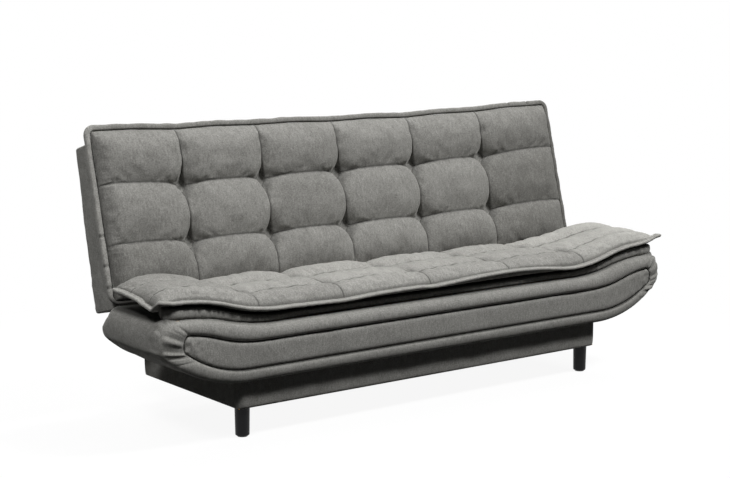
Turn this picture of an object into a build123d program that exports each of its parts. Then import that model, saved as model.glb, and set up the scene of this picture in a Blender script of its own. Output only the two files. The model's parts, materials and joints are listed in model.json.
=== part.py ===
"""Click-clack sofa bed: tufted seat with raised ends on a bedding box, tufted back that reclines flat.

Millimetres. X runs along the sofa, Y from front to rear, Z up; the floor is Z = 0 and the
bounding box is centred on X = 0, Y = 0.
"""
import os
from math import asin, cos, degrees, radians, sin, sqrt

from build123d import *

os.makedirs("parts", exist_ok=True)

# Overall layout
SEAT_LENGTH = 2000.0          # welt to welt along X
BACK_LENGTH = 1888.0          # welt to welt along X
PIVOT_SETBACK = 414.0         # front of the seat rolls to the hinge axis
PIVOT_HEIGHT = 343.0          # floor to the hinge axis
WELT_RISE = 30.0              # hinge axis to the centre plane of both welts
TILT = 15.0                   # lean of the back, degrees from upright
WELT_RADIUS = 7.0
SOFT_GAP = 0.3                # between soft pieces that lie on each other
SIDES = (("left", -1), ("right", 1))

# Bedding box
BASE_LENGTH = 1445.0
BASE_DEPTH = 562.0
BASE_SETBACK = 40.0           # box face behind the front of the seat rolls
BASE_CORNER = 24.0            # radius of the upright corners
RIM_HEIGHT = 208.0            # floor to the top of the box boards
BOARD = 18.0
BASE_COVER = 8.0
FLOOR_THICKNESS = 4.0

# Legs
LEG_HEIGHT = 90.0             # floor to the underside of the box
LEG_TOP_RADIUS = 22.5
LEG_FOOT_RADIUS = 21.0
LEG_INSET = 38.0              # leg axis behind the box faces
REAR_LEG_INSET = 252.5        # rear leg axis in from the box ends
LEG_BLOCK = 90.0
GLIDE_RADIUS = 15.0
GLIDE_THICKNESS = 3.0
STUD_RADIUS = 4.0
STUD_IN_LEG = 24.0
STUD_CLEARANCE = 0.1

# Seat shell, seen from the front
HULL_BOTTOM = 184.0
HULL_FLAT_INSET = 300.0       # level underside stops this far inside the welt's end
HULL_RADIUS = 413.0           # rise of the underside towards the ends
HULL_SWEEP = 40.0             # degrees of that rise
HULL_TIP_INSET = 13.0         # tip of the shell inside the welt's end
HULL_SHOULDER_INSET = 70.0    # where the end turns into the top of the shell
SHELL_TOP = 338.0             # level part of the shell top
END_RISE = 58.0               # lift of the seat cushion at both ends
SHELL_LIFT = 48.0             # lift of the shell top at both ends
SHELL_START_INSET = 345.0     # the shell's lift starts this far inside the welt's end
SHELL_END_INSET = 40.0
CUSHION_START_INSET = 425.0   # the cushion's lift starts earlier
CUSHION_END_INSET = 60.0
LOWER_ROLL = 29.0             # height of the lower roll
UPPER_ROLL = 45.0             # height of the upper roll
PANEL_SHOULDER_INSET = 95.0   # where the panel's top turns into its rounded end
PANEL_SWEEP = 36.0            # degrees of the underside's rise along the panel
FRONT_BOARD = 15.0
ROLL_DEPTH = 23.0             # rolls stand this far off the front board
PANEL_DEPTH = 17.0
PANEL_SEAM = 2.0              # groove between the panel and the rolls
PANEL_END_GAP = 6.0           # panel's rounded end short of the upper roll's turn
END_PAD = 30.0
END_BOARD = 12.0
SHELL_REAR = 352.0            # rear of the seat shell behind the roll front
REST_GAP = 0.5                # seat frame above the box rim
FRONT_GAP = 2.0               # seat front board ahead of the box
REAR_BOARD = 22.0
LID_BELOW = 53.0              # end boards stop this far under the shell top
LID_RUN = 70.0                # and slope up over this run to the shoulder
LID_STEP = 8.0
END_GAP = 4.0                 # end boards and pads clear of the box

# Seat cushions
CORE_INSET = 28.0             # band behind the outside of the welt
SEAT_WELT_FRONT = 10.0        # welt behind the front of the rolls
SEAT_WELT_REAR = 356.0        # rear of the welt behind the front of the rolls
REAR_CUT = 52.0               # raised ends stop this much short of the rear
SEAT_CROWN = 50.0             # pad above its underside
PAD_EDGE = 9.0
PAD_SEAM = 20.0
PAD_CORNER = 30.0
PAD_REAR_GAP = 8.0            # pad clear of the slanting rear welt
COLUMNS = 6
ROWS = 3
WELT_CORNER = 30.0
WELT_BEND_SHARE = 0.95        # welt bends a little tighter than the pad, leaving a short straight

# Back, measured from the hinge axis: up the slab and out of its face
BACK_SHELL_INSET = 31.0       # shell inside the welt's end
BACK_BOTTOM = 8.0
BACK_SHELL_TOP = 512.0
BACK_REAR_TOP = 100.0         # slab behind the axis at its top
BACK_REAR_BOTTOM = 126.0      # slab behind the axis at its bottom
BACK_FRONT = 14.0             # front of the frame
BACK_WELT_RADIUS = 9.0
BACK_WELT_BOTTOM = 11.0
BACK_WELT_TOP = 555.0
BACK_WELT_CORNER = 40.0
BACK_WELT_BEND = 900.0        # bend of the drawn-in top edge
BACK_CORE_BOTTOM = 36.0
BACK_CORE_OVERHANG = 14.0     # core above the shell top
BACK_CORE_SIDE = 4.0          # core beyond the shell's sides
BACK_CROWN = 46.0
BACK_COVER = 6.0
REAR_CLOTH = 3.0
STILE = 20.0
RAIL = 20.0
BOTTOM_RAIL = 45.0
HINGE_STILE_DEPTH = 74.0
HINGE_STILE_SETBACK = 10.0    # behind the front of the frame
SIDE_DRAW = 6.0               # pads drawn in between their corners

# Timber inside the seat
BEAM = 30.0
BEAM_TOP = 322.0
BAR_TOP = 270.0
BAR = 24.0
BAR_STEP = 340.0
CLOTH = 1.5

# Springs
WIRE = 1.9
SPRING_PITCH = 46.0
SPRING_SWING = 25.0
SPRING_BELOW = 8.0            # seat springs under the shell top
SPRING_END = 2.1              # wire ends clear of the rails
SEAT_SPRING_STEP = 140.0
BACK_SPRING_STEP = 180.0

# Hinges: plate layers from the box board inwards
BRACKET = 5.0
ARM = 6.0
LAYER_GAP = 0.4
PIVOT_RADIUS = 6.0
PIVOT_CLEARANCE = 0.06
HEAD_RADIUS = 10.0
HEAD = 6.0
NUT = 8.0
BOSS = 24.0
BRACKET_FRONT = 44.0          # front edge ahead of the axis
BRACKET_REAR = 4.0            # rear edge behind the axis
BRACKET_FOOT = 60.0           # foot inside the box behind the axis
BRACKET_FOOT_BOTTOM = 125.0
BRACKET_FOOT_TOP = 200.0
BACK_BOSS = 22.0
SEAT_BOSS = 18.0
SEAT_ARM_HALF = 18.0
SEAT_ARM_KNEE_AHEAD = 85.0    # knee of the seat arm ahead of the axis
SEAT_ARM_KNEE_BELOW = 64.0    # and below it
SEAT_ARM_REACH = 310.0
SEAT_ARM_SLOT = 2.0           # slot for the arm, clear on each side
ARM_BOLT_END = 30.0           # last bolt in from the end of an arm
SEAT_BOLT_STEP = 120.0
BACK_BOLT_STEP = 100.0
BACK_ARM_NEAR = -4.0          # arm bar out of the slab face
BACK_ARM_FAR = -36.0
BACK_ARM_REACH = 240.0
BACK_ARM_ROOT = 18.0          # width given up at the boss
BACK_ARM_SLOT = 1.0           # slot for the arm in the bottom rail
SECTOR_RADIUS = 34.0
SECTOR_ROOT = 29.0
SECTOR_START = -116.0
SECTOR_END = 2.0
NOTCHES = (-95.0, -60.0, -20.0)
NOTCH_AHEAD = 12.0            # degrees in front of the notch centre
NOTCH_BEHIND = 14.0           # degrees behind it, the play of the locked back
PAWL_AXIS_AHEAD = 28.0
PAWL_AXIS_BELOW = 52.0
PAWL_TIP = 31.0               # pawl tip from the hinge axis
PAWL_ANGLE = -95.0
PAWL_HALF = 4.0
PAWL_BOSS = 9.0
PAWL_PIN = 4.0
PAWL_COIL = 3.0               # wall of the coiled spring on the pin
SCREW_RADIUS = 2.5
SCREW_HEAD = 2.0
SCREW_EDGE = 20.0             # screws in from the edges of the bracket's foot
BOLT_RADIUS = 4.0
BOLT_HEAD_RADIUS = 7.0
BOLT_HEAD = 4.0
BOLT_CLEARANCE = 0.2
HINGE_NOTCH_GAP = 6.0         # slot in the bottom of the back, beside the hinge
HINGE_NOTCH_TOP = 34.0
HINGE_NOTCH_DEEP = -44.0      # slot behind the axis

# Derived positions
lean = radians(TILT)
overall_depth = PIVOT_SETBACK + BACK_SHELL_TOP * sin(lean) + BACK_REAR_TOP * cos(lean)
front = -overall_depth / 2
pivot_y = front + PIVOT_SETBACK
pivot = Vector(0, pivot_y, PIVOT_HEIGHT)
box_front = front + BASE_SETBACK
box_rear = box_front + BASE_DEPTH
board_front = box_front + BASE_COVER
board_rear = box_rear - BASE_COVER
board_side = BASE_LENGTH / 2 - BASE_COVER
inner_front = board_front + BOARD
inner_rear = board_rear - BOARD
inner_side = board_side - BOARD
floor_bottom = LEG_HEIGHT + BOARD
floor_top = floor_bottom + FLOOR_THICKNESS
seat_bottom = RIM_HEIGHT + REST_GAP
seat_board_rear = box_front - FRONT_GAP
seat_board_front = seat_board_rear - FRONT_BOARD
shell_rear = front + SHELL_REAR
seat_welt_z = PIVOT_HEIGHT + WELT_RISE
pad_bottom = seat_welt_z - WELT_RADIUS
seat_half = SEAT_LENGTH / 2
hull_flat = seat_half - HULL_FLAT_INSET
hull_tip = seat_half - HULL_TIP_INSET
hull_shoulder = seat_half - HULL_SHOULDER_INSET
panel_shoulder = seat_half - PANEL_SHOULDER_INSET
panel_tip = hull_tip - UPPER_ROLL - PANEL_SEAM - PANEL_END_GAP
shell_run = (seat_half - SHELL_START_INSET, seat_half - SHELL_END_INSET)
cushion_run = (seat_half - CUSHION_START_INSET, seat_half - CUSHION_END_INSET)
front_leg_x = BASE_LENGTH / 2 - LEG_INSET
rear_leg_x = BASE_LENGTH / 2 - REAR_LEG_INSET
leg_spots = [
    ("front_left", -front_leg_x, box_front + LEG_INSET),
    ("front_right", front_leg_x, box_front + LEG_INSET),
    ("rear_left", -rear_leg_x, box_rear - LEG_INSET),
    ("rear_right", rear_leg_x, box_rear - LEG_INSET),
]
up_slab = Vector(0, sin(lean), cos(lean))
off_slab = Vector(0, -cos(lean), sin(lean))
slab = Plane(origin=pivot, x_dir=(1, 0, 0), z_dir=off_slab)

# Hinge layers along X
bracket_inner = inner_side - BRACKET
back_arm_outer = bracket_inner - LAYER_GAP
back_arm_inner = back_arm_outer - ARM
seat_arm_outer = back_arm_inner - LAYER_GAP
seat_arm_inner = seat_arm_outer - ARM
nut_inner = seat_arm_inner - LAYER_GAP - NUT
notch_inner = nut_inner - HINGE_NOTCH_GAP
notch_outer = inner_side + HEAD + HINGE_NOTCH_GAP


def rise_radius(lift, run):
    """Radius of the two equal arcs that bend a level line up by a lift over a run of X."""
    half_run = (run[1] - run[0]) / 2
    return (half_run ** 2 + lift ** 2 / 4) / lift


def rise(x, lift, run):
    """Height gained at x: level, then two equal arcs bending up to the lift and level again."""
    length = run[1] - run[0]
    radius = rise_radius(lift, run)
    along = min(max(abs(x) - run[0], 0.0), length)
    if along <= length / 2:
        return radius - sqrt(radius ** 2 - along ** 2)
    return lift - radius + sqrt(radius ** 2 - (length - along) ** 2)


def shell_rise(x):
    """Lift of the shell top at x."""
    return rise(x, SHELL_LIFT, shell_run)


def cushion_rise(x):
    """Lift of the seat cushion at x."""
    return rise(x, END_RISE, cushion_run)


def block(x0, x1, y0, y1, z0, z1, mode=Mode.ADD):
    """Box between two corners, inside a part block."""
    with Locations(((x0 + x1) / 2, (y0 + y1) / 2, (z0 + z1) / 2)):
        Box(abs(x1 - x0), abs(y1 - y0), abs(z1 - z0), mode=mode)


def slab_block(x0, x1, u0, u1, n0, n1, mode=Mode.ADD):
    """Box in the frame of the back: along X, up the slab, out of its face."""
    with Locations(slab):
        with Locations(((x0 + x1) / 2, (u0 + u1) / 2, (n0 + n1) / 2)):
            Box(abs(x1 - x0), abs(u1 - u0), abs(n1 - n0), mode=mode)


def save(builder, name):
    """Label a finished piece and write its STEP file."""
    builder.part.label = name
    export_step(builder.part, f"parts/{name}.step")


def facing(y):
    """Plane seen from the front at depth y; its normal points to the front."""
    return Plane.XZ.offset(-y)


def layer(side, inner):
    """Plane across X whose extrusion along +X starts at the low face of a layer."""
    return Plane.YZ.offset(inner if side > 0 else -inner)


def around(radius, angle):
    """Point at a radius and angle (degrees) around the hinge axis, in Y and Z."""
    return (pivot_y + radius * cos(radians(angle)), PIVOT_HEIGHT + radius * sin(radians(angle)))


def from_pivot(y, z):
    """Point given from the hinge axis, in Y and Z."""
    return (pivot_y + y, PIVOT_HEIGHT + z)


def rise_corners(z, x_end):
    """Corner points of the cushion's two-arc lift on the right half, from the centre out to x_end."""
    start, end = cushion_run
    quarter = (end - start) / 4
    return [(0, z), (start + quarter, z), (end - quarter, z + END_RISE), (x_end, z + END_RISE)]


def lift_line(z, x_stop, lift, run):
    """Level line from the centre, then the two arcs up to x_stop, drawn on the right half."""
    middle = (run[0] + run[1]) / 2
    stops = [run[0], (run[0] + middle) / 2, middle, (middle + x_stop) / 2, x_stop]
    spots = [(x, z + rise(x, lift, run)) for x in stops]
    Line((0, z), spots[0])
    ThreePointArc(*spots[:3])
    ThreePointArc(*spots[2:])


def underside(inset, sweep_angle=HULL_SWEEP):
    """Level underside and the big arc towards the end, moved inwards; returns the arc's end."""
    radius = HULL_RADIUS - inset
    centre_z = HULL_BOTTOM + HULL_RADIUS
    Line((0, HULL_BOTTOM + inset), (hull_flat, HULL_BOTTOM + inset))
    stops = []
    for share in (0.5, 1.0):
        angle = radians(sweep_angle * share)
        stops.append((hull_flat + radius * sin(angle), centre_z - radius * cos(angle)))
    ThreePointArc((hull_flat, HULL_BOTTOM + inset), stops[0], stops[1])
    return stops[1]


def hull_face(inset):
    """Boat-shaped outline of the seat shell, a distance inside its surface."""
    with BuildLine(Plane.XY) as outline:
        low_end = underside(inset)
        top = SHELL_TOP - inset
        shoulder_x = hull_shoulder - inset * 0.5
        shoulder = (shoulder_x, top + shell_rise(shoulder_x))
        tip = (hull_tip - inset, (low_end[1] + shoulder[1]) / 2 - 6.0)
        ThreePointArc(low_end, tip, shoulder)
        lift_line(top, shoulder_x, SHELL_LIFT, shell_run)
        mirror(about=Plane.YZ)
    make_face(outline.edges())


def panel_face():
    """Outline of the front panel between the two rolls."""
    with BuildLine(Plane.XY) as outline:
        low_end = underside(LOWER_ROLL + PANEL_SEAM, PANEL_SWEEP)
        top = SHELL_TOP - UPPER_ROLL - PANEL_SEAM
        shoulder = (panel_shoulder, top + shell_rise(panel_shoulder))
        ThreePointArc(low_end, (panel_tip, (low_end[1] + shoulder[1]) / 2), shoulder)
        lift_line(top, panel_shoulder, SHELL_LIFT, shell_run)
        mirror(about=Plane.YZ)
    make_face(outline.edges())


# Bedding box boards
board_boxes = {
    "base_front_board": (-board_side, board_side, board_front, inner_front),
    "base_rear_board": (-board_side, board_side, inner_rear, board_rear),
    "base_left_board": (-board_side, -inner_side, inner_front, inner_rear),
    "base_right_board": (inner_side, board_side, inner_front, inner_rear),
}
for name, (x0, x1, y0, y1) in board_boxes.items():
    with BuildPart() as base_board:
        block(x0, x1, y0, y1, LEG_HEIGHT, RIM_HEIGHT)
    save(base_board, name)

with BuildPart() as base_floor:
    block(-inner_side, inner_side, inner_front, inner_rear, floor_bottom, floor_top)
save(base_floor, "base_floor")

with BuildPart() as base_center_rail:
    block(-LEG_BLOCK / 2, LEG_BLOCK / 2, inner_front, inner_rear, LEG_HEIGHT, floor_bottom)
save(base_center_rail, "base_center_rail")

# Padded cover round the box
with BuildPart() as base_cover:
    with BuildSketch(Plane.XY.offset(LEG_HEIGHT)):
        with Locations((0, (box_front + box_rear) / 2)):
            RectangleRounded(BASE_LENGTH, BASE_DEPTH, BASE_CORNER)
            Rectangle(2 * board_side, board_rear - board_front, mode=Mode.SUBTRACT)
    extrude(amount=RIM_HEIGHT - LEG_HEIGHT)
save(base_cover, "base_cover")

# Legs with their blocks, studs and glides
with BuildPart() as leg_blocks:
    for name, x, y in leg_spots:
        inward = 1 if y < 0 else -1
        y_board = inner_front if y < 0 else inner_rear
        x_side = x if abs(x) < inner_side - LEG_BLOCK else (inner_side - LEG_BLOCK / 2) * (1 if x > 0 else -1)
        block(x_side - LEG_BLOCK / 2, x_side + LEG_BLOCK / 2, y_board, y_board + inward * LEG_BLOCK,
              LEG_HEIGHT, floor_bottom)
    with Locations([(x, y, LEG_HEIGHT) for name, x, y in leg_spots]):
        Cylinder(STUD_RADIUS + STUD_CLEARANCE, 3 * BOARD, mode=Mode.SUBTRACT)
save(leg_blocks, "leg_blocks")

for name, x, y in leg_spots:
    with BuildPart(Plane((x, y, GLIDE_THICKNESS))) as leg:
        leg_body = LEG_HEIGHT - GLIDE_THICKNESS
        Cone(LEG_FOOT_RADIUS, LEG_TOP_RADIUS, leg_body, align=(Align.CENTER, Align.CENTER, Align.MIN))
        fillet(leg.faces().sort_by(Axis.Z)[0].edges(), 4.0)
        with Locations((0, 0, leg_body)):
            Cylinder(STUD_RADIUS + STUD_CLEARANCE, 2 * STUD_IN_LEG, mode=Mode.SUBTRACT)
    save(leg, f"leg_{name}")

with BuildPart() as leg_studs:
    with Locations([(x, y, LEG_HEIGHT - STUD_IN_LEG) for name, x, y in leg_spots]):
        Cylinder(STUD_RADIUS, STUD_IN_LEG + BOARD - 1.0, align=(Align.CENTER, Align.CENTER, Align.MIN))
save(leg_studs, "leg_studs")

with BuildPart() as leg_glides:
    with Locations([(x, y, 0) for name, x, y in leg_spots]):
        Cylinder(GLIDE_RADIUS, GLIDE_THICKNESS, align=(Align.CENTER, Align.CENTER, Align.MIN))
save(leg_glides, "leg_glides")

# Hinges
pawl_axis = from_pivot(-PAWL_AXIS_AHEAD, -PAWL_AXIS_BELOW)
pawl_tip = around(PAWL_TIP, PAWL_ANGLE)
foot_screws = [
    from_pivot(y, z - PIVOT_HEIGHT)
    for y in (SCREW_EDGE - BRACKET_FRONT, BRACKET_FOOT - SCREW_EDGE)
    for z in (BRACKET_FOOT_BOTTOM + SCREW_EDGE, BRACKET_FOOT_TOP - SCREW_EDGE)
]
last_seat_bolt = SEAT_ARM_REACH - ARM_BOLT_END
last_back_bolt = BACK_ARM_REACH - ARM_BOLT_END
seat_bolts = [from_pivot(-y, -SEAT_ARM_KNEE_BELOW) for y in (last_seat_bolt - SEAT_BOLT_STEP, last_seat_bolt)]
back_bolts = [last_back_bolt - BACK_BOLT_STEP, last_back_bolt]
back_bolt_n = (BACK_ARM_NEAR + BACK_ARM_FAR) / 2


def back_bolt_spot(u):
    """Y and Z of a bolt through the back arm."""
    spot = pivot + up_slab * u + off_slab * back_bolt_n
    return (spot.Y, spot.Z)


for side_name, side in SIDES:
    with BuildPart() as hinge_bracket:
        with BuildSketch(layer(side, bracket_inner if side > 0 else inner_side)):
            with Locations((pivot_y, PIVOT_HEIGHT)):
                Circle(BOSS)
            with BuildLine():
                Polyline(
                    from_pivot(-BRACKET_FRONT, BRACKET_FOOT_BOTTOM - PIVOT_HEIGHT),
                    from_pivot(BRACKET_FOOT, BRACKET_FOOT_BOTTOM - PIVOT_HEIGHT),
                    from_pivot(BRACKET_FOOT, BRACKET_FOOT_TOP - PIVOT_HEIGHT),
                    from_pivot(BRACKET_REAR, BRACKET_FOOT_TOP - PIVOT_HEIGHT),
                    from_pivot(BRACKET_REAR, 0),
                    from_pivot(-BOSS, 0),
                    from_pivot(-BRACKET_FRONT, -BOSS),
                    close=True,
                )
            make_face()
            with Locations((pivot_y, PIVOT_HEIGHT)):
                Circle(PIVOT_RADIUS + PIVOT_CLEARANCE, mode=Mode.SUBTRACT)
            with Locations(pawl_axis):
                Circle(PAWL_PIN, mode=Mode.SUBTRACT)
            with Locations(foot_screws):
                Circle(SCREW_RADIUS, mode=Mode.SUBTRACT)
        extrude(amount=BRACKET)
    save(hinge_bracket, f"hinge_bracket_{side_name}")

    with BuildPart() as back_arm:
        with BuildSketch(layer(side, back_arm_inner if side > 0 else back_arm_outer)):
            with Locations((pivot_y, PIVOT_HEIGHT)):
                Circle(BACK_BOSS)
            with BuildLine():
                Line((pivot_y, PIVOT_HEIGHT), around(SECTOR_RADIUS, SECTOR_START))
                ThreePointArc(
                    around(SECTOR_RADIUS, SECTOR_START),
                    around(SECTOR_RADIUS, (SECTOR_START + SECTOR_END) / 2),
                    around(SECTOR_RADIUS, SECTOR_END),
                )
                Line(around(SECTOR_RADIUS, SECTOR_END), (pivot_y, PIVOT_HEIGHT))
            make_face()
            corners = []
            for u, n in ((0, BACK_ARM_NEAR), (BACK_ARM_REACH, BACK_ARM_NEAR),
                         (BACK_ARM_REACH, BACK_ARM_FAR), (0, BACK_ARM_FAR + BACK_ARM_ROOT)):
                spot = pivot + up_slab * u + off_slab * n
                corners.append((spot.Y, spot.Z))
            with BuildLine():
                Polyline(*corners, close=True)
            make_face()
            for angle in NOTCHES:
                with BuildLine():
                    Polyline(
                        around(SECTOR_ROOT, angle - NOTCH_AHEAD),
                        around(SECTOR_RADIUS + 4.0, angle - NOTCH_AHEAD),
                        around(SECTOR_RADIUS + 4.0, angle + NOTCH_BEHIND),
                        around(SECTOR_ROOT, angle + NOTCH_BEHIND),
                        close=True,
                    )
                make_face(mode=Mode.SUBTRACT)
            with Locations((pivot_y, PIVOT_HEIGHT)):
                Circle(PIVOT_RADIUS + PIVOT_CLEARANCE, mode=Mode.SUBTRACT)
            with Locations([back_bolt_spot(u) for u in back_bolts]):
                Circle(BOLT_RADIUS + BOLT_CLEARANCE, mode=Mode.SUBTRACT)
        extrude(amount=ARM)
    save(back_arm, f"back_arm_{side_name}")

    with BuildPart() as seat_arm:
        with BuildSketch(layer(side, seat_arm_inner if side > 0 else seat_arm_outer)):
            with Locations((pivot_y, PIVOT_HEIGHT)):
                Circle(SEAT_BOSS)
            knee_y = -SEAT_ARM_KNEE_AHEAD
            knee_z = -SEAT_ARM_KNEE_BELOW
            with BuildLine():
                Polyline(
                    from_pivot(-SEAT_BOSS * 0.5, SEAT_BOSS * 0.85),
                    from_pivot(knee_y, knee_z + SEAT_ARM_HALF),
                    from_pivot(-SEAT_ARM_REACH, knee_z + SEAT_ARM_HALF),
                    from_pivot(-SEAT_ARM_REACH, knee_z - SEAT_ARM_HALF),
                    from_pivot(knee_y, knee_z - SEAT_ARM_HALF),
                    from_pivot(SEAT_BOSS * 0.5, -SEAT_BOSS * 0.85),
                    close=True,
                )
            make_face()
            with Locations((pivot_y, PIVOT_HEIGHT)):
                Circle(PIVOT_RADIUS + PIVOT_CLEARANCE, mode=Mode.SUBTRACT)
            with Locations(seat_bolts):
                Circle(BOLT_RADIUS + BOLT_CLEARANCE, mode=Mode.SUBTRACT)
        extrude(amount=ARM)
    save(seat_arm, f"seat_arm_{side_name}")

    with BuildPart() as pawl:
        reach_y = pawl_tip[0] - pawl_axis[0]
        reach_z = pawl_tip[1] - pawl_axis[1]
        reach = sqrt(reach_y ** 2 + reach_z ** 2)
        across_y = -reach_z / reach * PAWL_HALF
        across_z = reach_y / reach * PAWL_HALF
        with BuildSketch(layer(side, back_arm_inner if side > 0 else back_arm_outer)):
            with Locations(pawl_axis):
                Circle(PAWL_BOSS)
            with BuildLine():
                Polyline(
                    (pawl_axis[0] + 1.6 * across_y, pawl_axis[1] + 1.6 * across_z),
                    (pawl_axis[0] - 1.6 * across_y, pawl_axis[1] - 1.6 * across_z),
                    (pawl_tip[0] - 0.6 * across_y, pawl_tip[1] - 0.6 * across_z),
                    (pawl_tip[0] + 0.3 * across_y, pawl_tip[1] + 0.3 * across_z),
                    close=True,
                )
            make_face()
            with Locations(pawl_axis):
                Circle(PAWL_PIN + PIVOT_CLEARANCE, mode=Mode.SUBTRACT)
        extrude(amount=ARM)
    save(pawl, f"pawl_{side_name}")

    with BuildPart(Plane.YZ) as pivot_bolt:
        with Locations((pivot_y, PIVOT_HEIGHT, side * (nut_inner + inner_side) / 2)):
            Cylinder(PIVOT_RADIUS, inner_side - nut_inner)
        with Locations((pivot_y, PIVOT_HEIGHT, side * (inner_side + HEAD / 2))):
            Cylinder(HEAD_RADIUS, HEAD)
        with Locations((pivot_y, PIVOT_HEIGHT, side * (nut_inner + NUT / 2))):
            Cylinder(HEAD_RADIUS, NUT)
    save(pivot_bolt, f"pivot_bolt_{side_name}")

    with BuildPart(Plane.YZ) as pawl_pin:
        pin_low = back_arm_inner - LAYER_GAP - ARM
        with Locations((*pawl_axis, side * (pin_low + inner_side) / 2)):
            Cylinder(PAWL_PIN, inner_side - pin_low)
    save(pawl_pin, f"pawl_pin_{side_name}")

    with BuildPart(Plane.YZ) as pawl_spring:
        with Locations((*pawl_axis, side * (pin_low + ARM / 2))):
            Cylinder(PAWL_PIN + PAWL_COIL, ARM)
            Cylinder(PAWL_PIN, ARM, mode=Mode.SUBTRACT)
    save(pawl_spring, f"pawl_spring_{side_name}")

with BuildPart(Plane.YZ) as bracket_screws:
    for side_name, side in SIDES:
        for spot in foot_screws:
            with Locations((*spot, side * (bracket_inner + BRACKET / 2))):
                Cylinder(SCREW_RADIUS, BRACKET)
            with Locations((*spot, side * (bracket_inner - SCREW_HEAD / 2))):
                Cylinder(2 * SCREW_RADIUS, SCREW_HEAD)
save(bracket_screws, "bracket_screws")


def arm_bolts(spots, arm_outer, arm_inner, timber):
    """Carriage bolts through an arm and the timber inside it, on both sides."""
    for side_name, side in SIDES:
        length = arm_outer - arm_inner + timber
        for spot in spots:
            with Locations((*spot, side * (arm_outer - length / 2))):
                Cylinder(BOLT_RADIUS, length)
            with Locations((*spot, side * (arm_outer - length - BOLT_HEAD / 2))):
                Cylinder(BOLT_HEAD_RADIUS, BOLT_HEAD)


with BuildPart(Plane.YZ) as seat_arm_bolts:
    arm_bolts(seat_bolts, seat_arm_outer, seat_arm_inner, BEAM)
save(seat_arm_bolts, "seat_arm_bolts")

with BuildPart(Plane.YZ) as back_arm_bolts:
    arm_bolts([back_bolt_spot(u) for u in back_bolts], back_arm_outer, back_arm_inner, BEAM)
save(back_arm_bolts, "back_arm_bolts")

# Seat frame
pads_rear = shell_rear - REAR_BOARD
arm_slot_bottom = PIVOT_HEIGHT - SEAT_ARM_KNEE_BELOW - SEAT_ARM_HALF - SEAT_ARM_SLOT

with BuildPart() as seat_front_board:
    with BuildSketch(facing(seat_board_rear)):
        hull_face(3.0)
    extrude(amount=FRONT_BOARD)
save(seat_front_board, "seat_front_board")

with BuildPart() as seat_rear_board:
    with BuildSketch(facing(shell_rear)):
        hull_face(END_PAD + END_BOARD)
        with Locations((0, (SHELL_TOP + seat_bottom) / 2)):
            Rectangle(2 * shell_run[0], SHELL_TOP - seat_bottom)
    extrude(amount=shell_rear - pads_rear)
    for side_name, side in SIDES:
        block(side * (seat_arm_inner - SEAT_ARM_SLOT), side * (seat_arm_outer + SEAT_ARM_SLOT),
              pads_rear - REAR_BOARD, shell_rear + REAR_BOARD, arm_slot_bottom, 2 * SHELL_TOP,
              mode=Mode.SUBTRACT)
save(seat_rear_board, "seat_rear_board")

for side_name, side in SIDES:
    with BuildPart() as seat_hinge_beam:
        block(side * (seat_arm_inner - BEAM), side * seat_arm_inner, seat_board_rear, pads_rear,
              seat_bottom, BEAM_TOP)
        with Locations(Plane.YZ):
            with Locations([(*spot, side * (seat_arm_inner - BEAM / 2)) for spot in seat_bolts]):
                Cylinder(BOLT_RADIUS + BOLT_CLEARANCE, 2 * BEAM, mode=Mode.SUBTRACT)
    save(seat_hinge_beam, f"seat_hinge_beam_{side_name}")

with BuildPart() as seat_cross_bars:
    for x in (-BAR_STEP, 0, BAR_STEP):
        block(x - BAR / 2, x + BAR / 2, seat_board_rear, pads_rear, seat_bottom, BAR_TOP)
save(seat_cross_bars, "seat_cross_bars")


def end_ring(side, outer, inner):
    """Part of the shell wall that closes one end, between two depths under its surface."""
    hull_face(outer)
    with BuildSketch(Plane.XY, mode=Mode.PRIVATE) as hollow:
        hull_face(inner)
    add(hollow.sketch, mode=Mode.SUBTRACT)
    reach = 2 * hull_tip
    inner_edge = BASE_LENGTH / 2 + END_GAP
    with Locations((side * (inner_edge - reach / 2), SHELL_TOP)):
        Rectangle(reach, reach, mode=Mode.SUBTRACT)
    above = 2 * SHELL_TOP
    lid_z = SHELL_TOP - LID_BELOW
    lid = [(inner_edge, lid_z), (hull_shoulder - LID_RUN, lid_z), (hull_shoulder, SHELL_TOP - LID_STEP),
           (hull_shoulder, above), (inner_edge, above)]
    Polygon(*[(side * x, z) for x, z in lid], align=None, mode=Mode.SUBTRACT)


for side_name, side in SIDES:
    with BuildPart() as seat_end_board:
        with BuildSketch(facing(shell_rear)):
            end_ring(side, END_PAD, END_PAD + END_BOARD)
        extrude(amount=shell_rear - seat_board_rear)
    save(seat_end_board, f"seat_end_board_{side_name}")

    with BuildPart() as seat_end_pad:
        with BuildSketch(facing(shell_rear)):
            end_ring(side, 0.0, END_PAD)
        extrude(amount=shell_rear - seat_board_rear)
    save(seat_end_pad, f"seat_end_pad_{side_name}")

# Front of the shell: panel between two rolls
with BuildPart() as seat_front_panel:
    with BuildSketch(facing(seat_board_front)):
        panel_face()
    extrude(amount=PANEL_DEPTH)
    fillet(seat_front_panel.faces().sort_by(Axis.Y)[0].edges(), 5.0)
save(seat_front_panel, "seat_front_panel")

roll_meet = SHELL_TOP - UPPER_ROLL + SHELL_LIFT / 2


def roll_section(height, middle):
    """Flat-backed round section of a roll on the front board, at the centre of the sofa."""
    bulge = height / 2 - 1.5
    low = middle - height / 2
    high = middle + height / 2
    shoulder = seat_board_front - (ROLL_DEPTH - bulge)
    with BuildSketch(Plane.YZ) as section:
        with BuildLine():
            Polyline((shoulder, low), (seat_board_front, low), (seat_board_front, high), (shoulder, high))
            ThreePointArc((shoulder, high), (shoulder - bulge, middle), (shoulder, low))
        make_face()
    return section.sketch


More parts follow.
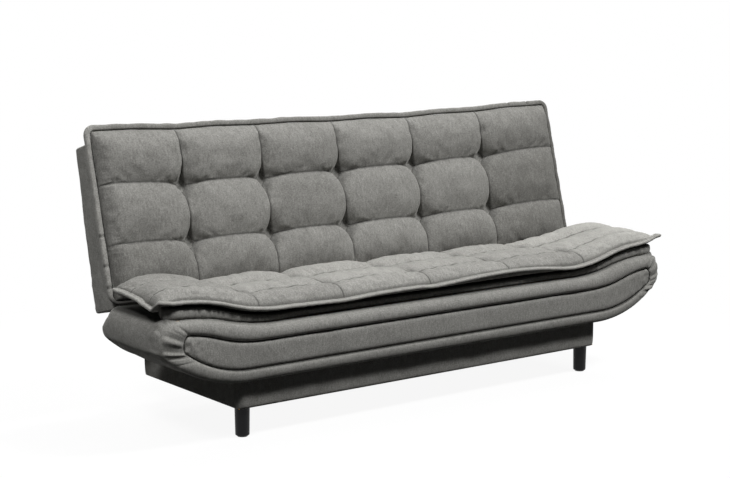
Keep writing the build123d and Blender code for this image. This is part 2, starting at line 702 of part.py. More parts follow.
def turn_to(start, angle, end):
    """Arc that leaves start at an angle (degrees) and reaches end."""
    side_x = -sin(radians(angle))
    side_z = cos(radians(angle))
    span_x = end[0] - start[0]
    span_z = end[1] - start[1]
    radius = (span_x ** 2 + span_z ** 2) / (2 * (span_x * side_x + span_z * side_z))
    centre = (start[0] + radius * side_x, start[1] + radius * side_z)
    out_x = (start[0] + end[0]) / 2 - centre[0]
    out_z = (start[1] + end[1]) / 2 - centre[1]
    stretch = abs(radius) / sqrt(out_x ** 2 + out_z ** 2)
    ThreePointArc(start, (centre[0] + out_x * stretch, centre[1] + out_z * stretch), end)


with BuildPart() as seat_lower_roll:
    half = LOWER_ROLL / 2
    with BuildLine(facing(seat_board_front)) as lower_path:
        turn_to(underside(half), HULL_SWEEP, (hull_tip - half, roll_meet - SOFT_GAP))
    sweep(roll_section(LOWER_ROLL - SOFT_GAP, HULL_BOTTOM + half), path=lower_path.wire())
    block(panel_shoulder, seat_half, front, box_front, roll_meet - SOFT_GAP, 2 * SHELL_TOP, mode=Mode.SUBTRACT)
    mirror(about=Plane.YZ)
save(seat_lower_roll, "seat_lower_roll")

with BuildPart() as seat_upper_roll:
    half = UPPER_ROLL / 2
    with BuildLine(facing(seat_board_front)) as upper_path:
        lift_line(SHELL_TOP - half, panel_shoulder, SHELL_LIFT, shell_run)
        turn = (panel_shoulder, SHELL_TOP - half + shell_rise(panel_shoulder))
        slope = degrees(asin((shell_run[1] - panel_shoulder) / rise_radius(SHELL_LIFT, shell_run)))
        turn_to(turn, slope, (hull_tip - half, roll_meet + SOFT_GAP))
    sweep(roll_section(UPPER_ROLL - SOFT_GAP, SHELL_TOP - half), path=upper_path.wire())
    block(panel_tip, seat_half, front, box_front, 0, roll_meet + SOFT_GAP, mode=Mode.SUBTRACT)
    mirror(about=Plane.YZ)
save(seat_upper_roll, "seat_upper_roll")


def zigzag(start, turns, pitch):
    """Corners of a zigzag spring along its first coordinate."""
    points = [(start, 0.0)]
    for turn in range(turns):
        swing = SPRING_SWING if turn % 2 == 0 else -SPRING_SWING
        here = start + (turn + 0.5) * pitch
        points.append((here - pitch * 0.3, swing))
        points.append((here + pitch * 0.3, swing))
    points.append((start + turns * pitch, 0.0))
    return points


def spring(plane, run):
    """One zigzag spring of round wire lying in a plane, along its local x."""
    turns = 2 * round(run / SPRING_PITCH / 2)
    corners = zigzag(SPRING_END, turns, (run - 2 * SPRING_END) / turns)
    with BuildLine(plane) as wire:
        FilletPolyline(*corners, radius=9.0)
    with BuildSketch(Plane(wire.line @ 0, z_dir=wire.line % 0)) as ring:
        Circle(WIRE)
    sweep(ring.sketch, path=wire.line)


spring_z = SHELL_TOP - SPRING_BELOW
with BuildPart() as seat_springs:
    for step in range(-4, 5):
        spring(Plane((step * SEAT_SPRING_STEP, seat_board_rear, spring_z), x_dir=(0, 1, 0), z_dir=(0, 0, 1)),
               pads_rear - seat_board_rear)
save(seat_springs, "seat_springs")

with BuildPart() as seat_dust_cloth:
    block(-seat_arm_inner, seat_arm_inner, inner_front + 3.0, pads_rear, seat_bottom - CLOTH, seat_bottom)
save(seat_dust_cloth, "seat_dust_cloth")


def pad_stations(half_length):
    """Sections along a quilted pad: each place with how far the tufts swell there."""
    width = 2 * half_length / COLUMNS
    stations = [(-half_length, 0.0), (PAD_CORNER - half_length, 0.35)]
    for column in range(COLUMNS):
        start = -half_length + column * width
        if column > 0:
            stations.append((start, 0.0))
        for share, swell in ((0.16, 0.72), (0.5, 1.0), (0.84, 0.72)):
            stations.append((start + share * width, swell))
    return stations + [(half_length - PAD_CORNER, 0.35), (half_length, 0.0)]


# Seat core: level slab whose ends bend up with the shell
core_front = front + SEAT_WELT_FRONT + CORE_INSET
core_rear = front + SEAT_WELT_REAR - CORE_INSET / 2
core_end = seat_half - CORE_INSET
pad_half = seat_half - 2 * WELT_RADIUS - SOFT_GAP
with BuildPart() as seat_core:
    with BuildSketch(facing(core_rear)):
        with BuildLine():
            low = SHELL_TOP + SOFT_GAP
            high = pad_bottom - SOFT_GAP
            lift_line(low, cushion_run[1], END_RISE, cushion_run)
            Line((cushion_run[1], low + END_RISE), (core_end, low + END_RISE))
            rest = [(x, high + cushion_rise(x)) for x, swell in pad_stations(pad_half) if 0 <= x < core_end]
            Polyline((core_end, low + END_RISE), (core_end, high + END_RISE), *reversed(rest))
            mirror(about=Plane.YZ)
        make_face()
    extrude(amount=core_rear - core_front)
    cut_rear = core_rear - REAR_CUT
    for side_name, side in SIDES:
        with BuildSketch(Plane.XY.offset(SHELL_TOP - 20.0)):
            with BuildLine():
                Polyline(
                    (side * cushion_run[0], core_rear),
                    (side * cushion_run[1], cut_rear),
                    (side * SEAT_LENGTH, cut_rear),
                    (side * SEAT_LENGTH, core_rear + 50.0),
                    (side * cushion_run[0], core_rear + 50.0),
                    close=True,
                )
            make_face()
        extrude(amount=200.0, mode=Mode.SUBTRACT)
save(seat_core, "seat_core")


def tufted_pad(section_at, half_length, bottom_at, edges_at, crown):
    """Loft of a quilted pad across its length.

    Each section has a level underside, two low sides and one arc for each row of tufts;
    the arcs swell in the middle of a column and lie flat at its seams and at the pad's ends.
    """
    sections = []
    for x, swell in pad_stations(half_length):
        at_end = abs(x) > half_length - 1.0
        low = bottom_at(x)
        near, far = edges_at(x)
        if at_end:
            near = near + PAD_CORNER
            far = far - PAD_CORNER
        row = (far - near) / ROWS
        seam = PAD_EDGE if at_end else PAD_SEAM
        peak = seam + 1.5 + (crown - seam - 1.5) * swell
        with BuildSketch(section_at(x)) as section:
            with BuildLine():
                Line((near, low), (far, low))
                Line((far, low), (far, low + PAD_EDGE))
                for step in range(ROWS, 0, -1):
                    start_height = PAD_EDGE if step == ROWS else seam
                    end_height = PAD_EDGE if step == 1 else seam
                    ThreePointArc(
                        (near + step * row, low + start_height),
                        (near + (step - 0.5) * row, low + peak),
                        (near + (step - 1) * row, low + end_height),
                    )
                Line((near, low + PAD_EDGE), (near, low))
            make_face()
        sections.append(section.sketch)
    loft(sections, ruled=True)


pad_front = front + SEAT_WELT_FRONT + 2 * WELT_RADIUS + SOFT_GAP
pad_rear = front + SEAT_WELT_REAR - 2 * WELT_RADIUS - PAD_REAR_GAP


def seat_edges(x):
    """Front and rear of the seat pad at x; the raised ends stop short of the back."""
    return (pad_front, pad_rear - REAR_CUT * cushion_rise(x) / END_RISE)


with BuildPart() as seat_pad:
    tufted_pad(Plane.YZ.offset, pad_half, lambda x: pad_bottom + cushion_rise(x), seat_edges, SEAT_CROWN)
save(seat_pad, "seat_pad")


def cord(points, radii, thickness):
    """Round welt of a radius along a path with rounded corners."""
    with BuildLine() as path:
        FilletPolyline(*points, radius=radii)
    with BuildSketch(Plane(path.line @ 0, z_dir=path.line % 0)) as ring:
        Circle(thickness)
    sweep(ring.sketch, path=path.line)


welt_x = seat_half - WELT_RADIUS
welt_front = front + SEAT_WELT_FRONT + WELT_RADIUS
welt_rear = front + SEAT_WELT_REAR - WELT_RADIUS
bend = WELT_BEND_SHARE * rise_radius(END_RISE, cushion_run)
rear_bend = WELT_BEND_SHARE * rise_radius(sqrt(END_RISE ** 2 + REAR_CUT ** 2), cushion_run)
right_front = [(x, welt_front, z) for x, z in rise_corners(seat_welt_z, welt_x)[1:]]
right_rear = []
for x, z in reversed(rise_corners(seat_welt_z, welt_x)[1:]):
    right_rear.append((x, welt_rear - REAR_CUT * (z - seat_welt_z) / END_RISE, z))
left_front = [(-x, y, z) for x, y, z in reversed(right_front)]
left_rear = [(-x, y, z) for x, y, z in reversed(right_rear)]
right_radii = [rear_bend, rear_bend, WELT_CORNER, WELT_CORNER, bend, bend]

with BuildPart() as seat_welt:
    cord([(1.0, welt_rear, seat_welt_z)] + right_rear[::-1] + right_front[::-1]
         + left_front[::-1] + left_rear[::-1] + [(-1.0, welt_rear, seat_welt_z)],
         right_radii + right_radii[::-1], WELT_RADIUS)
save(seat_welt, "seat_welt")

# Back frame
shell_half = BACK_LENGTH / 2 - BACK_SHELL_INSET
frame_half = shell_half - BACK_COVER
frame_bottom = BACK_BOTTOM + BACK_COVER
frame_top = BACK_SHELL_TOP - BACK_COVER
rail_bottom = HINGE_NOTCH_TOP + REST_GAP
rail_top = rail_bottom + BOTTOM_RAIL


def rear_at(u, inset):
    """Rear face of the slab at a height up the slab, a distance inside it."""
    share = (u - BACK_BOTTOM) / (BACK_SHELL_TOP - BACK_BOTTOM)
    return -(BACK_REAR_BOTTOM + (BACK_REAR_TOP - BACK_REAR_BOTTOM) * share) + inset


def slab_section(x):
    """Plane across the back at x; local axes run up the slab and out of its face."""
    return Plane(origin=(x, pivot_y, PIVOT_HEIGHT), x_dir=up_slab, z_dir=(1, 0, 0))


def tapered(x0, x1, u0, u1, inset, n_front, mode=Mode.ADD):
    """Block of the slab between two X, from the tapering rear face to a level front."""
    with BuildSketch(slab_section(min(x0, x1))) as outline:
        with BuildLine():
            Polyline(
                (u0, rear_at(u0, inset)), (u1, rear_at(u1, inset)), (u1, n_front), (u0, n_front),
                close=True,
            )
        make_face()
    extrude(outline.sketch, amount=abs(x1 - x0), mode=mode)


def hinge_slots():
    """Cut the slots for both hinges into the bottom of a piece of the back."""
    for side_name, side in SIDES:
        slab_block(side * notch_inner, side * notch_outer, -HINGE_NOTCH_TOP, HINGE_NOTCH_TOP,
                   HINGE_NOTCH_DEEP, -HINGE_NOTCH_DEEP, mode=Mode.SUBTRACT)


for side_name, side in SIDES:
    with BuildPart() as back_side_stile:
        tapered(side * (frame_half - STILE), side * frame_half, frame_bottom, frame_top, REAR_CLOTH, BACK_FRONT)
    save(back_side_stile, f"back_side_stile_{side_name}")

with BuildPart() as back_top_rail:
    tapered(-(frame_half - STILE), frame_half - STILE, frame_top - RAIL, frame_top, REAR_CLOTH, BACK_FRONT)
save(back_top_rail, "back_top_rail")

with BuildPart() as back_bottom_rail:
    tapered(-(frame_half - STILE), frame_half - STILE, rail_bottom, rail_top, REAR_CLOTH, BACK_FRONT)
    for side_name, side in SIDES:
        slab_block(side * (back_arm_inner - BACK_ARM_SLOT), side * (back_arm_outer + BACK_ARM_SLOT),
                   0.0, 2 * rail_top, BACK_ARM_FAR - BACK_ARM_SLOT, BACK_ARM_NEAR + BACK_ARM_SLOT,
                   mode=Mode.SUBTRACT)
save(back_bottom_rail, "back_bottom_rail")

for side_name, side in SIDES:
    with BuildPart() as back_hinge_stile:
        stile_front = BACK_FRONT - HINGE_STILE_SETBACK
        slab_block(side * (back_arm_inner - BEAM), side * back_arm_inner, rail_top, frame_top - RAIL,
                   stile_front - HINGE_STILE_DEPTH, stile_front)
        with Locations(Plane.YZ):
            with Locations([(*back_bolt_spot(u), side * (back_arm_inner - BEAM / 2)) for u in back_bolts]):
                Cylinder(BOLT_RADIUS + BOLT_CLEARANCE, 2 * BEAM, mode=Mode.SUBTRACT)
    save(back_hinge_stile, f"back_hinge_stile_{side_name}")

with BuildPart() as back_springs:
    for step in range(-3, 4):
        foot = pivot + up_slab * rail_top + off_slab * (BACK_FRONT - SPRING_BELOW)
        spring(Plane((step * BACK_SPRING_STEP, foot.Y, foot.Z), x_dir=up_slab, z_dir=off_slab),
               frame_top - RAIL - rail_top)
save(back_springs, "back_springs")

with BuildPart() as back_border_cover:
    tapered(-shell_half, shell_half, BACK_BOTTOM, BACK_SHELL_TOP, 0.0, BACK_FRONT)
    fillet(back_border_cover.edges().filter_by(Axis.X).sort_by(Axis.Z)[-1], 3.0)
    tapered(-frame_half, frame_half, frame_bottom, frame_top, -STILE, BACK_FRONT + STILE, mode=Mode.SUBTRACT)
    hinge_slots()
save(back_border_cover, "back_border_cover")

with BuildPart() as back_rear_cloth:
    with BuildSketch(slab_section(-frame_half)):
        with BuildLine():
            Polyline(
                (frame_bottom, rear_at(frame_bottom, 0.0)),
                (frame_top, rear_at(frame_top, 0.0)),
                (frame_top, rear_at(frame_top, REAR_CLOTH)),
                (frame_bottom, rear_at(frame_bottom, REAR_CLOTH)),
                close=True,
            )
        make_face()
    extrude(amount=2 * frame_half)
save(back_rear_cloth, "back_rear_cloth")

# Back cushion
back_pad_bottom = WELT_RISE - WELT_RADIUS
with BuildPart() as back_core:
    back_core_half = shell_half + BACK_CORE_SIDE
    slab_block(-back_core_half, back_core_half, BACK_CORE_BOTTOM, BACK_SHELL_TOP + BACK_CORE_OVERHANG,
               BACK_FRONT + SOFT_GAP, back_pad_bottom - SOFT_GAP)
save(back_core, "back_core")

back_pad_half = BACK_LENGTH / 2 - 2 * BACK_WELT_RADIUS - SOFT_GAP


def drawn(x, half_length):
    """How far an edge is drawn in at x: nothing at the corners, most in the middle."""
    return SIDE_DRAW * (1 - (x / half_length) ** 2)


def back_edges(x):
    """Lower and upper edge of the back pad at x."""
    low = BACK_WELT_BOTTOM + 2 * BACK_WELT_RADIUS + SOFT_GAP
    high = BACK_WELT_TOP - 2 * BACK_WELT_RADIUS - SOFT_GAP
    return (low, high - drawn(x, back_pad_half))


with BuildPart() as back_pad:
    tufted_pad(slab_section, back_pad_half, lambda x: back_pad_bottom, back_edges, BACK_CROWN)
save(back_pad, "back_pad")

back_welt_x = BACK_LENGTH / 2 - BACK_WELT_RADIUS
back_welt_low = BACK_WELT_BOTTOM + BACK_WELT_RADIUS
back_welt_high = BACK_WELT_TOP - BACK_WELT_RADIUS


def on_slab(x, u, n):
    """Point given along X, up the slab and out of its face."""
    spot = pivot + up_slab * u + off_slab * n
    return (x, spot.Y, spot.Z)


with BuildPart() as back_welt:
    ring = [
        (1.0, back_welt_low), (back_welt_x, back_welt_low), (back_welt_x, back_welt_high),
        (back_welt_x * 0.5, back_welt_high - SIDE_DRAW * 0.7),
        (-back_welt_x * 0.5, back_welt_high - SIDE_DRAW * 0.7),
        (-back_welt_x, back_welt_high), (-back_welt_x, back_welt_low), (-1.0, back_welt_low),
    ]
    cord([on_slab(x, u, WELT_RISE) for x, u in ring],
         [BACK_WELT_CORNER] * 2 + [BACK_WELT_BEND] * 2 + [BACK_WELT_CORNER] * 2,
         BACK_WELT_RADIUS)
save(back_welt, "back_welt")
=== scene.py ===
"""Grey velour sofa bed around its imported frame: soft pieces, finishes, floor, light and camera.

Lengths in this script are millimetres in the frame of the model; meshes are written in metres.
"""
import json
import math

import bmesh
import bpy
import numpy as np
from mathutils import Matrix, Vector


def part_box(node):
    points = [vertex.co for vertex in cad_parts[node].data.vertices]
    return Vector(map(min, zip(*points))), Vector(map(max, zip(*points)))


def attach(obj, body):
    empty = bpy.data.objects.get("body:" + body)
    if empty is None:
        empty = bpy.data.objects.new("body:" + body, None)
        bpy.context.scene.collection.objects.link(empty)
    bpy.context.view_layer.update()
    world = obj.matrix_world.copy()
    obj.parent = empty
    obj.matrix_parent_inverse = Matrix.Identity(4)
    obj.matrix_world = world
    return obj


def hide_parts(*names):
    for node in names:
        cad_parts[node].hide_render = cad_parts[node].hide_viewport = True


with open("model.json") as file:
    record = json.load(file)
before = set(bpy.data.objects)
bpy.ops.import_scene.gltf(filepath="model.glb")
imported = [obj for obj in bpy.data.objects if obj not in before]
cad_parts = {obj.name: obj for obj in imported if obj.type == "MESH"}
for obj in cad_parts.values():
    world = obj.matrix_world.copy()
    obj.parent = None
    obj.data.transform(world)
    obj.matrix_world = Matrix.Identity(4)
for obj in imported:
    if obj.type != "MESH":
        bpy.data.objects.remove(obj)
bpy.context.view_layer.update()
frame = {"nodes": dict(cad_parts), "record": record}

MM = 0.001
PIVOT_Y = 92.446          # hinge axis
PIVOT_Z = 343.0
LEAN = math.radians(15.0)

# Rise of the seat's ends: height, and where it starts and stops along X
SHELL_RISE = (44.0, 600.0, 930.0)
PANEL_RISE = (48.0, 655.0, 960.0)
SEAT_RISE = (58.0, 575.0, 940.0)

# Boat-shaped seat shell, seen from the front
SHELL_LOW = 178.0
SHELL_FLAT = 700.0        # half-length of the level underside
SHELL_ARC = 413.0         # radius of the rise towards the ends
SHELL_TOP = 334.0
SHELL_TIP = (986.0, 322.0)
SHELL_SHOULDER = 930.0    # where the rounded end meets the lifted top
BOARD_COVER = 5.5         # the cover rises this much over the front board
PANEL_INSET = 36.0        # width of the lower roll
PANEL_TOP = 294.0
PANEL_TIP = (931.0, 304.0)
PANEL_SHOULDER = 908.0
PANEL_SHIFT = 14.0        # both its tips sit this much to the right
PANEL_PROUD = 9.0
PANEL_FRONT = -308.0      # its face at the seam
PANEL_BEHIND = -304.5
ROLL_SEAM = -307.0        # where the rolls start at the panel's seam
ROLL_BULGE = 17.0
ROLL_END = -302.0         # where the rolls turn into the shell
BOARD_REAR = -283.0       # back of the front rolls
SHELL_REAR = 50.0         # back of the end pads

# Leaning back shell, in the frame of the slab
BACK_SHELL_HALF = 914.0
BACK_SHELL_LOW = 6.5
BACK_SHELL_HIGH = 514.0
BACK_SHELL_FRONT = 15.5
BACK_SHELL_DEPTH = (126.0, 100.0)   # behind the pivot's plane, at the lower and the upper edge
LOW_TURN = 6.0            # rounding of its lower and its upper edge
HIGH_TURN = 9.0

# Bedding box
BOX_HALF = 722.0
BOX_FRONT = -281.5
BOX_DEPTH = 562.0
BOX_CORNER = 24.0

# Seat cushion
SEAT_LOW = 366.0          # underside of the seat pad
SEAT_NEAR = -297.0
SEAT_FAR = 7.0
SEAT_HALF = 985.0
REAR_CUT = 47.0           # raised ends stop this much short of the back

# Back cushion, in the frame of the slab
BACK_LOW = 23.0           # underside of the back pad out of the slab
BACK_HALF = 925.0
BACK_NEAR = 30.0
RIGHT_SHORT = 14.0        # its right edge stands this much short of the frame's
COLUMNS = 6
ROWS = 3

# Net of the back's seams: along X by column and up the slab at the upper edge, with cross seams between
BACK_SEAMS = np.array([-BACK_HALF, -640.0, -347.0, -49.0, 263.0, 573.0, BACK_HALF - RIGHT_SHORT])
BACK_TOPS = np.array([541.0, 532.0, 531.0, 527.0, 525.0, 531.0, 541.0])
BACK_UPPER = np.array([376.0, 357.0, 357.0, 357.0, 358.0, 366.0, 384.0])
BACK_LOWER = np.array([193.0, 181.0, 180.0, 180.0, 180.0, 182.0, 189.0])

# Net of the seat's seams: along X at the front edge and at the rear edge, cross seams as shares of the depth
SEAT_SEAMS = np.array([-SEAT_HALF, -655.0, -353.0, -18.0, 309.0, 645.0, SEAT_HALF])
SEAT_REAR_SEAMS = np.array([-SEAT_HALF, -700.0, -400.0, -82.0, 236.0, 508.0, SEAT_HALF])
SEAT_CROSS = (0.0, 0.22, 0.64, 1.0)

# Lie of the pile in each cell, from brushed dark to brushed light, with painted light and shade in it: the
# whole back darker, the whole seat lighter and lightest in its right column. Columns from the left, rows from
# below or from the front
BACK_LIE_AND_PAINTED_LIGHT = ((-0.85, -0.40, -0.30, -0.20, -0.45, -0.90),
            (-0.35, -0.25, -0.45, -0.20, -0.25, -1.00),
            (-0.40, -0.30, -0.45, -0.30, -0.45, -0.60))
SEAT_LIE_AND_PAINTED_LIGHT = ((0.10, -0.10, 0.25, 0.20, -0.10, 0.75), (-0.25, 0.30, 0.60, 0.30, 0.25, 0.85),
            (-0.35, 0.20, 0.35, 0.35, 0.30, 0.90))

# Height of the seat's sewn edge above the pad's underside: along the front by X, at the ends by Y
FRONT_WAVE = np.array([[-985, 16], [-962, 8], [-892, 9], [-778, 11], [-661, 13], [-560, 14], [-439, 11],
                       [-361, 9], [-200, 16], [-60, 17], [-17, 12], [123, 21], [239, 26], [340, 27],
                       [440, 22], [560, 9], [640, 9], [734, 11], [900, 3], [955, 8], [985, 22]], float)
LEFT_WAVE = np.array([[-300, 16], [-290, 0], [-277, -8], [-221, 0], [-194, 8], [-142, 13], [-29, 18]], float)
RIGHT_WAVE = np.array([[-300, 24], [-285, 14], [-250, 8], [-142, 12], [-29, 16]], float)
REAR_WAVE = 12.0


def lift(x, rise):
    """Height gained along X: level to the start of the rise, then two equal arcs bending up to its end."""
    height, first, last = rise
    run = last - first
    radius = (run ** 2 + height ** 2) / (4 * height)
    along = np.clip(np.abs(x) - first, 0.0, run)
    low = radius - np.sqrt(radius ** 2 - np.minimum(along, run / 2) ** 2)
    high = height - radius + np.sqrt(radius ** 2 - np.minimum(run - along, run / 2) ** 2)
    return np.where(along <= run / 2, low, high)


def on_slab(x, u, n):
    """Points given along X, up the leaning slab and out of its face, as an array of X, Y, Z."""
    y = PIVOT_Y + u * math.sin(LEAN) - n * math.cos(LEAN)
    z = PIVOT_Z + u * math.cos(LEAN) + n * math.sin(LEAN)
    return np.stack(np.broadcast_arrays(x, y, z), -1)


UP_SLAB = np.array([0.0, math.sin(LEAN), math.cos(LEAN)])
OFF_SLAB = np.array([0.0, -math.cos(LEAN), math.sin(LEAN)])


def ripple(points, size, seed, waves=12):
    """Smooth random height of about -1 to 1: sine waves about a size long in seeded directions, added up."""
    rng = np.random.default_rng(seed)
    ways = rng.normal(size=(points.shape[-1], waves))
    ways /= np.linalg.norm(ways, axis=0) * size * rng.uniform(0.7, 1.5, waves)
    phase = rng.uniform(0, 2 * math.pi, waves)
    return np.sin(points @ ways * 2 * math.pi + phase).sum(-1) / math.sqrt(waves)


def unit(vectors):
    """Vectors scaled to length one."""
    return vectors / np.linalg.norm(vectors, axis=-1, keepdims=True)


def grid_quads(rows, columns, round_rows=False, round_columns=False):
    """Quads of a grid of points, row after row, joined round in either direction if asked."""
    i, j = np.meshgrid(np.arange(rows if round_rows else rows - 1),
                       np.arange(columns if round_columns else columns - 1), indexing="ij")
    below = (i + 1) % rows
    beside = (j + 1) % columns
    corners = (i * columns + j, i * columns + beside, below * columns + beside, below * columns + j)
    return np.stack(corners, -1).reshape(-1, 4)


def new_piece(name, points, faces, finish, painted_shade=None, nap_and_painted_light=None, merge=False):
    """Mesh object from points in millimetres; crease paints shade into the cloth, nap says how its pile lies
    and carries painted light and shade.
    """
    points = points.reshape(-1, 3)
    mesh = bpy.data.meshes.new(name)
    mesh.from_pydata((points * MM).tolist(), [], [list(map(int, face)) for face in faces])
    for title, values in (("painted_shade", painted_shade), ("nap_and_painted_light", nap_and_painted_light)):
        if values is not None:
            layer = mesh.attributes.new(title, "FLOAT", "POINT")
            layer.data.foreach_set("value", np.clip(values, -1, 1).ravel())
    shape = bmesh.new()
    shape.from_mesh(mesh)
    if merge:
        bmesh.ops.remove_doubles(shape, verts=shape.verts, dist=0.02 * MM)
    bmesh.ops.recalc_face_normals(shape, faces=shape.faces)
    shape.to_mesh(mesh)
    shape.free()
    mesh.shade_smooth()
    mesh.materials.append(finish)
    piece = bpy.data.objects.new(name, mesh)
    bpy.context.scene.collection.objects.link(piece)
    return piece


def fit_out(piece, body, slot, *nodes, fill=None):
    """Attach a soft piece to the body it rides on and hide the solids it stands for; slot and fill are not
    used.
    """
    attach(piece, body)
    if nodes:
        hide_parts(*nodes)


# Finishes

def linear(code):
    """Linear RGBA of an sRGB hex code."""
    channels = [int(code[i:i + 2], 16) / 255 for i in (1, 3, 5)]
    return [c / 12.92 if c <= 0.04045 else ((c + 0.055) / 1.055) ** 2.4 for c in channels] + [1.0]


def put(tree, kind, inputs=None, **settings):
    """Add a node with its settings; each input is a value or a socket to link from."""
    node = tree.nodes.new(kind)
    for key, value in settings.items():
        setattr(node, key, value)
    for key, value in (inputs or {}).items():
        if isinstance(value, bpy.types.NodeSocket):
            tree.links.new(value, node.inputs[key])
        else:
            node.inputs[key].default_value = value
    return node


def start(name):
    """Empty node material and its tree."""
    finish = bpy.data.materials.new(name)
    finish.use_nodes = True
    finish.node_tree.nodes.clear()
    return finish, finish.node_tree


def shade(ramp, stops):
    """Set a colour ramp's stops from places and hex codes."""
    elements = ramp.color_ramp.elements
    while len(elements) < len(stops):
        elements.new(0.5)
    for element, (place, code) in zip(elements, stops):
        element.position = place
        element.color = linear(code)
    return ramp.outputs["Color"]


def brushed_velour():
    """Short-pile polyester velour, brushed down: fine grain, 6 mm wide streaks that run down the cloth, soft
    70 mm patches where the pile lies another way, and a dull surface that brightens where it is seen edge-on.
    The 0.3 mm pile is drawn as 4 mm grain, the finest that shows. The piece's nap attribute adds the lie of
    the pile with painted light and shade in it, and its crease attribute paints shade into seams, tucks,
    grooves and recesses."""
    finish, tree = start("brushed_grey_velour")
    place = put(tree, "ShaderNodeTexCoord").outputs["Object"]
    patches = put(tree, "ShaderNodeTexNoise", {"Vector": place, "Scale": 1 / 0.07, "Detail": 1.0,
                                               "Roughness": 0.55, "Distortion": 0.8})
    down = put(tree, "ShaderNodeMapping", {"Vector": place, "Scale": (1.0, 0.30, 0.30)})
    streaks = put(tree, "ShaderNodeTexNoise", {"Vector": down.outputs[0], "Scale": 1 / 0.006, "Detail": 2.0,
                                               "Roughness": 0.6, "Distortion": 0.3})
    grain = put(tree, "ShaderNodeTexNoise", {"Vector": place, "Scale": 1 / 0.004, "Detail": 2.0,
                                             "Roughness": 0.7})
    # Lie of the pile, partly painted light and shade, lightens or darkens the cloth's tone
    lie_and_painted_light = put(tree, "ShaderNodeAttribute", attribute_name="nap_and_painted_light")
    nap_and_painted_light = put(tree, "ShaderNodeMath", {0: lie_and_painted_light.outputs["Fac"], 1: 0.16, 2: 0.05}, operation="MULTIPLY_ADD")
    wide = put(tree, "ShaderNodeMath", {0: patches.outputs["Fac"], 1: 0.12, 2: nap_and_painted_light.outputs[0]},
               operation="MULTIPLY_ADD")
    long = put(tree, "ShaderNodeMath", {0: streaks.outputs["Fac"], 1: 0.24, 2: wide.outputs[0]},
               operation="MULTIPLY_ADD")
    tone = put(tree, "ShaderNodeMath", {0: grain.outputs["Fac"], 1: 0.54, 2: long.outputs[0]},
               operation="MULTIPLY_ADD")
    cloth = shade(put(tree, "ShaderNodeValToRGB", {"Fac": tone.outputs[0]}),
                  [(0.30, "#6a6965"), (0.50, "#8c8b87"), (0.70, "#aaa9a4")])
    # Painted shade: the piece's darkening attribute mixes the cloth towards near-black #1d1d1b in seams,
    # grooves, undersides and recesses
    seam = put(tree, "ShaderNodeAttribute", attribute_name="painted_shade")
    colour = put(tree, "ShaderNodeMix", {0: seam.outputs["Fac"], 6: cloth, 7: linear("#1d1d1b")},
                 data_type="RGBA")
    relief = put(tree, "ShaderNodeMath", {0: streaks.outputs["Fac"], 1: 0.5, 2: grain.outputs["Fac"]},
                 operation="MULTIPLY_ADD")
    bump = put(tree, "ShaderNodeBump", {"Height": relief.outputs[0], "Strength": 0.45, "Distance": 0.001})
    shader = put(tree, "ShaderNodeBsdfPrincipled", {
        "Base Color": colour.outputs[2], "Normal": bump.outputs[0], "Roughness": 0.9,
        "Specular IOR Level": 0.15, "Sheen Weight": 0.35, "Sheen Roughness": 0.4,
        "Sheen Tint": linear("#d8d8d2")})
    put(tree, "ShaderNodeOutputMaterial", {"Surface": shader.outputs[0]})
    return finish


def plain_finish(name, dark, light, grain_mm, stretch, roughness, metallic=0.0, bump_mm=0.1, mirror=0.5):
    """Finish with a stretched grain: two tones and a relief from one noise of a real grain width."""
    finish, tree = start(name)
    place = put(tree, "ShaderNodeTexCoord").outputs["Object"]
    along = put(tree, "ShaderNodeMapping", {"Vector": place, "Scale": stretch})
    grain = put(tree, "ShaderNodeTexNoise", {"Vector": along.outputs[0], "Scale": 1000.0 / grain_mm,
                                             "Detail": 4.0, "Roughness": 0.6, "Distortion": 0.3})
    colour = shade(put(tree, "ShaderNodeValToRGB", {"Fac": grain.outputs["Fac"]}),
                   [(0.35, dark), (0.65, light)])
    matt = put(tree, "ShaderNodeMapRange", {"Value": grain.outputs["Fac"], "To Min": roughness - 0.08,
                                            "To Max": roughness + 0.08})
    bump = put(tree, "ShaderNodeBump", {"Height": grain.outputs["Fac"], "Strength": 0.5,
                                        "Distance": bump_mm * MM})
    shader = put(tree, "ShaderNodeBsdfPrincipled", {"Base Color": colour, "Roughness": matt.outputs[0],
                                                    "Metallic": metallic, "Normal": bump.outputs[0],
                                                    "Specular IOR Level": mirror})
    put(tree, "ShaderNodeOutputMaterial", {"Surface": shader.outputs[0]})
    return finish


